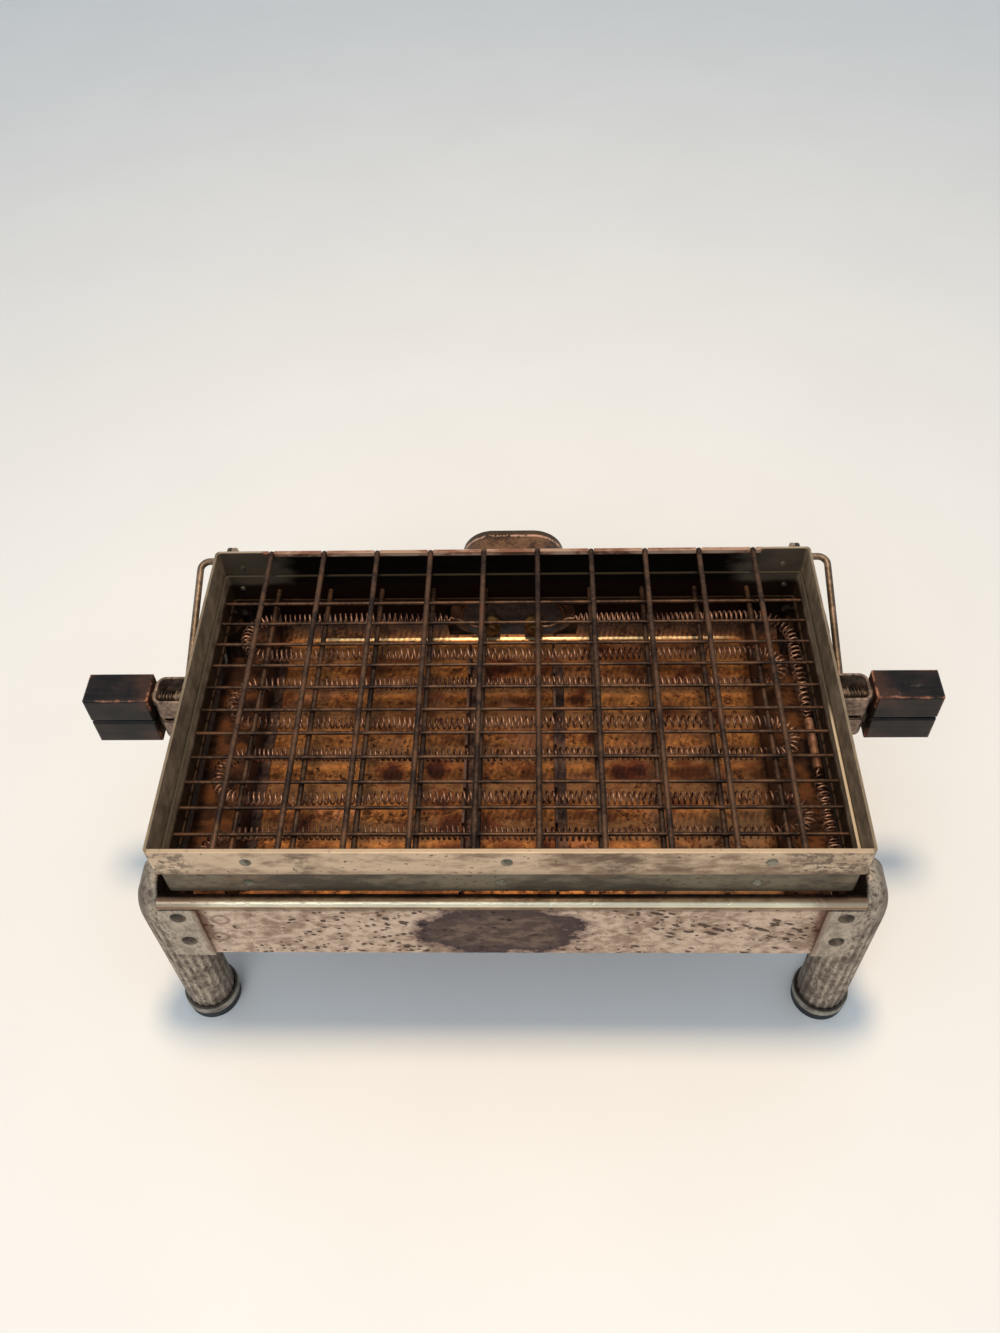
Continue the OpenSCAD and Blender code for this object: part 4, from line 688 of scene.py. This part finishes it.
def element_route():
    """The element's middle line as short steps: a place and how far the wire is wound out there."""
    row_y = [ROW_BACK - ROW_PITCH * i - (i % 2) * ROW_STEP for i in range(ROWS)]
    bend = RETURN_X - ROW_HALF
    stops = []

    def line(x0, y0, x1, y1, w0=1.0, w1=1.0):
        length = math.hypot(x1 - x0, y1 - y0)
        steps = max(2, round(length / (0.25 * MM)))
        for k in range(steps):
            t = k / steps
            stops.append((x0 + (x1 - x0) * t, y0 + (y1 - y0) * t, COIL_Z, w0 + (w1 - w0) * t))

    def arc(x, y, r, a0, a1):
        steps = round(abs(a1 - a0) * math.pi / 180 * r / (0.25 * MM))
        for k in range(steps):
            a = math.radians(a0 + (a1 - a0) * k / steps)
            stops.append((x + r * math.cos(a), y + r * math.sin(a), COIL_Z, 1.0))

    def lead(side, inward):
        steps = 40
        points = []
        for k in range(steps + 1):
            t = k / steps
            ease = t * t * (3 - 2 * t)
            x = NUT_X + 2 * MM + (COIL_START - NUT_X - 2 * MM) * t
            points.append((side * x, ROW_BACK, LEAD_Z + (COIL_Z - LEAD_Z) * ease, 0.0))
        points.insert(0, (side * NUT_X, ROW_BACK, LEAD_Z, 0.0))
        stops.extend(reversed(points) if inward else points)

    wind_in = 5 * MM
    lead(-1, False)
    line(-COIL_START, ROW_BACK, -COIL_START - wind_in, ROW_BACK, 0, 1)
    line(-COIL_START - wind_in, ROW_BACK, -ROW_HALF, ROW_BACK)
    for i in range(ROWS - 1):
        r = (row_y[i] - row_y[i + 1]) / 2
        right = i % 2 == 1
        arc(ROW_HALF if right else -ROW_HALF, row_y[i] - r, r, 90, -90 if right else 270)
        start = ROW_HALF if right else -ROW_HALF
        line(start, row_y[i + 1], -start, row_y[i + 1])
    arc(ROW_HALF, row_y[-1] + bend, bend, -90, 0)
    line(RETURN_X, row_y[-1] + bend, RETURN_X, SLEEVE_LOW.y - wind_in)
    line(RETURN_X, SLEEVE_LOW.y - wind_in, RETURN_X, SLEEVE_LOW.y, 1, 0)
    line(RETURN_X, SLEEVE_LOW.y, RETURN_X, SLEEVE_HIGH.y, 0, 0)
    line(RETURN_X, SLEEVE_HIGH.y, RETURN_X, SLEEVE_HIGH.y + wind_in, 0, 1)
    line(RETURN_X, SLEEVE_HIGH.y + wind_in, RETURN_X, ROW_BACK - bend)
    arc(ROW_HALF, ROW_BACK - bend, bend, 0, 90)
    line(ROW_HALF, ROW_BACK, COIL_START + wind_in, ROW_BACK)
    line(COIL_START + wind_in, ROW_BACK, COIL_START, ROW_BACK, 1, 0)
    lead(1, True)
    return np.array(stops)


def element_points(pitch, coil_radius, per_curl):
    """Winds the wire round the route, with curls that lie closer here and wider there."""
    route = element_route()
    step = np.linalg.norm(np.diff(route[:, :3], axis=0), axis=1)
    along = np.concatenate([[0], np.cumsum(step)])
    rng = random.Random(4)
    waves = [(rng.uniform(18, 90) * MM, rng.uniform(0, 6.28), rng.uniform(0.05, 0.12)) for _ in range(5)]
    spread = 1 + sum(size * np.sin(along / length + phase) for length, phase, size in waves)
    wound = np.clip(route[:, 3], 0, 1)
    rate = np.where(wound > 0.02, 2 * np.pi / (pitch * spread), 0)
    turn = np.concatenate([[0], np.cumsum(step * rate[1:])])
    count = int(turn[-1] / (2 * np.pi) * per_curl)
    wanted = np.interp(np.linspace(0, turn[-1], count), turn, along)
    flat = along[wound <= 0.02][::6]
    wanted = np.unique(np.concatenate([wanted, flat, along[[0, -1]]]))
    heading = np.gradient(route[:, :3], axis=0)
    heading /= np.linalg.norm(heading, axis=1)[:, None]
    at = lambda values: np.interp(wanted, along, values)
    mid = np.stack([at(route[:, k]) for k in range(3)], 1)
    hx, hy = at(heading[:, 0]), at(heading[:, 1])
    norm = np.hypot(hx, hy)
    radius = at(wound) * coil_radius * (1 + 0.06 * np.sin(wanted / (7 * MM)))
    angle = at(turn)
    sag = 0.35 * MM * np.sin(wanted / (23 * MM)) * at(wound)
    out = mid.copy()
    out[:, 0] += -hy / norm * radius * np.cos(angle)
    out[:, 1] += hx / norm * radius * np.cos(angle) + sag
    out[:, 2] += radius * np.sin(angle) - abs(sag)
    return out


heating_coil = wound_wire("element", element_points(2.35 * MM, 2.45 * MM, 9), 0.38 * MM, 1, FINISHES["element_wire"])
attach(heating_coil, "base")
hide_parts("heating_coil")


def handle_spring(basket, side):
    """A spring round a handle bolt, four curls and a straight end at each side."""
    low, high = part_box(f"{basket}_spring_{side}")
    mid_y, mid_z = (low.y + high.y) / 2, (low.z + high.z) / 2
    wire = 0.4 * MM
    radius = (high.y - low.y) / 2 - wire
    lead = 2 * wire
    curls, per_curl = 4, 20
    steps = curls * per_curl
    run = high.x - low.x - 2 * lead
    points = [(low.x, mid_y + radius, mid_z)]
    for k in range(steps + 1):
        angle = 2 * math.pi * k / per_curl
        x = low.x + lead + run * k / steps
        points.append((x, mid_y + radius * math.cos(angle), mid_z + radius * math.sin(angle)))
    points.append((high.x, mid_y + radius, mid_z))
    spring = wound_wire(f"{basket}_handle_spring_{side}", points, wire, 2, spring_steel)
    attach(spring, f"{basket}_basket")
    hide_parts(f"{basket}_spring_{side}")


for basket in ("lower", "upper"):
    for side in ("left", "right"):
        handle_spring(basket, side)


# Dark plates under the tray's front corners: painted shade that closes the gaps beside the legs

SHADE_PLATE_IN_X, SHADE_PLATE_OUT_X = 116.5 * MM, 130.2 * MM
SHADE_PLATE_FRONT, SHADE_PLATE_BACK = -4 * MM, 13 * MM
SHADE_PLATE_T = 0.6 * MM
SHADE_PLATE_R = 10.04 * MM


def tray_shade_plate(name, side):
    """A small plate under a front corner of the tray, cut round the leg, that closes the gap beside it: a dark sheet
    put there as painted shade.
    """
    mid_x = side * (SHADE_PLATE_IN_X + SHADE_PLATE_OUT_X) / 2
    mid_y = LEG_FRONT_Y + (SHADE_PLATE_FRONT + SHADE_PLATE_BACK) / 2
    mid_z = TRAY_LOW.z - SHADE_PLATE_T / 2
    size = (SHADE_PLATE_OUT_X - SHADE_PLATE_IN_X, SHADE_PLATE_BACK - SHADE_PLATE_FRONT, SHADE_PLATE_T)
    bpy.ops.object.select_all(action="DESELECT")
    bpy.ops.mesh.primitive_cylinder_add(vertices=48, radius=SHADE_PLATE_R, depth=20 * MM,
                                        location=(side * LEG_X, LEG_FRONT_Y, mid_z))
    cutter = bpy.context.object
    bpy.ops.mesh.primitive_cube_add(size=1, location=(mid_x, mid_y, mid_z), scale=size)
    plate = bpy.context.object
    plate.name = name
    bpy.ops.object.transform_apply(location=True, rotation=True, scale=True)
    cut = plate.modifiers.new("round_the_leg", "BOOLEAN")
    cut.operation = "DIFFERENCE"
    cut.object = cutter
    bpy.ops.object.modifier_apply(modifier=cut.name)
    bpy.data.objects.remove(cutter)
    plate.data.materials.clear()
    plate.data.materials.append(FINISHES["reflector_rust"])
    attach(plate, "base")


tray_shade_plate("tray_shade_plate_left", -1)
tray_shade_plate("tray_shade_plate_right", 1)


# Floor and light

def add_floor():
    bpy.ops.object.select_all(action="DESELECT")
    bpy.ops.mesh.primitive_plane_add(size=8, location=(0, 0, 0))
    floor = bpy.context.object
    floor.name = "floor"
    f = Finish("floor")
    shade = f.noise(90 * MM, 3, 0.5)
    f.relief(f.noise(6 * MM, 3, 0.5), 0.05 * MM)
    floor.data.materials.append(f.done(f.mix(srgb(233, 229, 224), srgb(240, 236, 231), shade), 0.6, 0.0))


def add_lamp(name, place, target, size, power, colour=(1, 1, 1)):
    data = bpy.data.lights.new(name, "AREA")
    data.shape = "DISK"
    data.size = size
    data.energy = power
    data.color = colour
    lamp = bpy.data.objects.new(name, data)
    bpy.context.scene.collection.objects.link(lamp)
    lamp.location = place
    lamp.rotation_euler = (Vector(target) - Vector(place)).to_track_quat("-Z", "Y").to_euler()


def add_world():
    world = bpy.data.worlds.new("world")
    bpy.context.scene.world = world
    world.use_nodes = True
    background = world.node_tree.nodes["Background"]
    background.inputs["Color"].default_value = (0.74, 0.87, 1, 1)
    background.inputs["Strength"].default_value = 0.63


add_floor()
add_world()
add_lamp("ceiling", (0.0, 0.0, 1.05), (0, -0.02, 0), 0.16, 6.7, (1, 0.79, 0.54))
add_lamp("front_fill", (-0.3, -0.9, 1.0), (0, 0, 0.08), 0.7, 4, (0.85, 0.93, 1))

scene = bpy.context.scene
scene.view_settings.view_transform = "Standard"
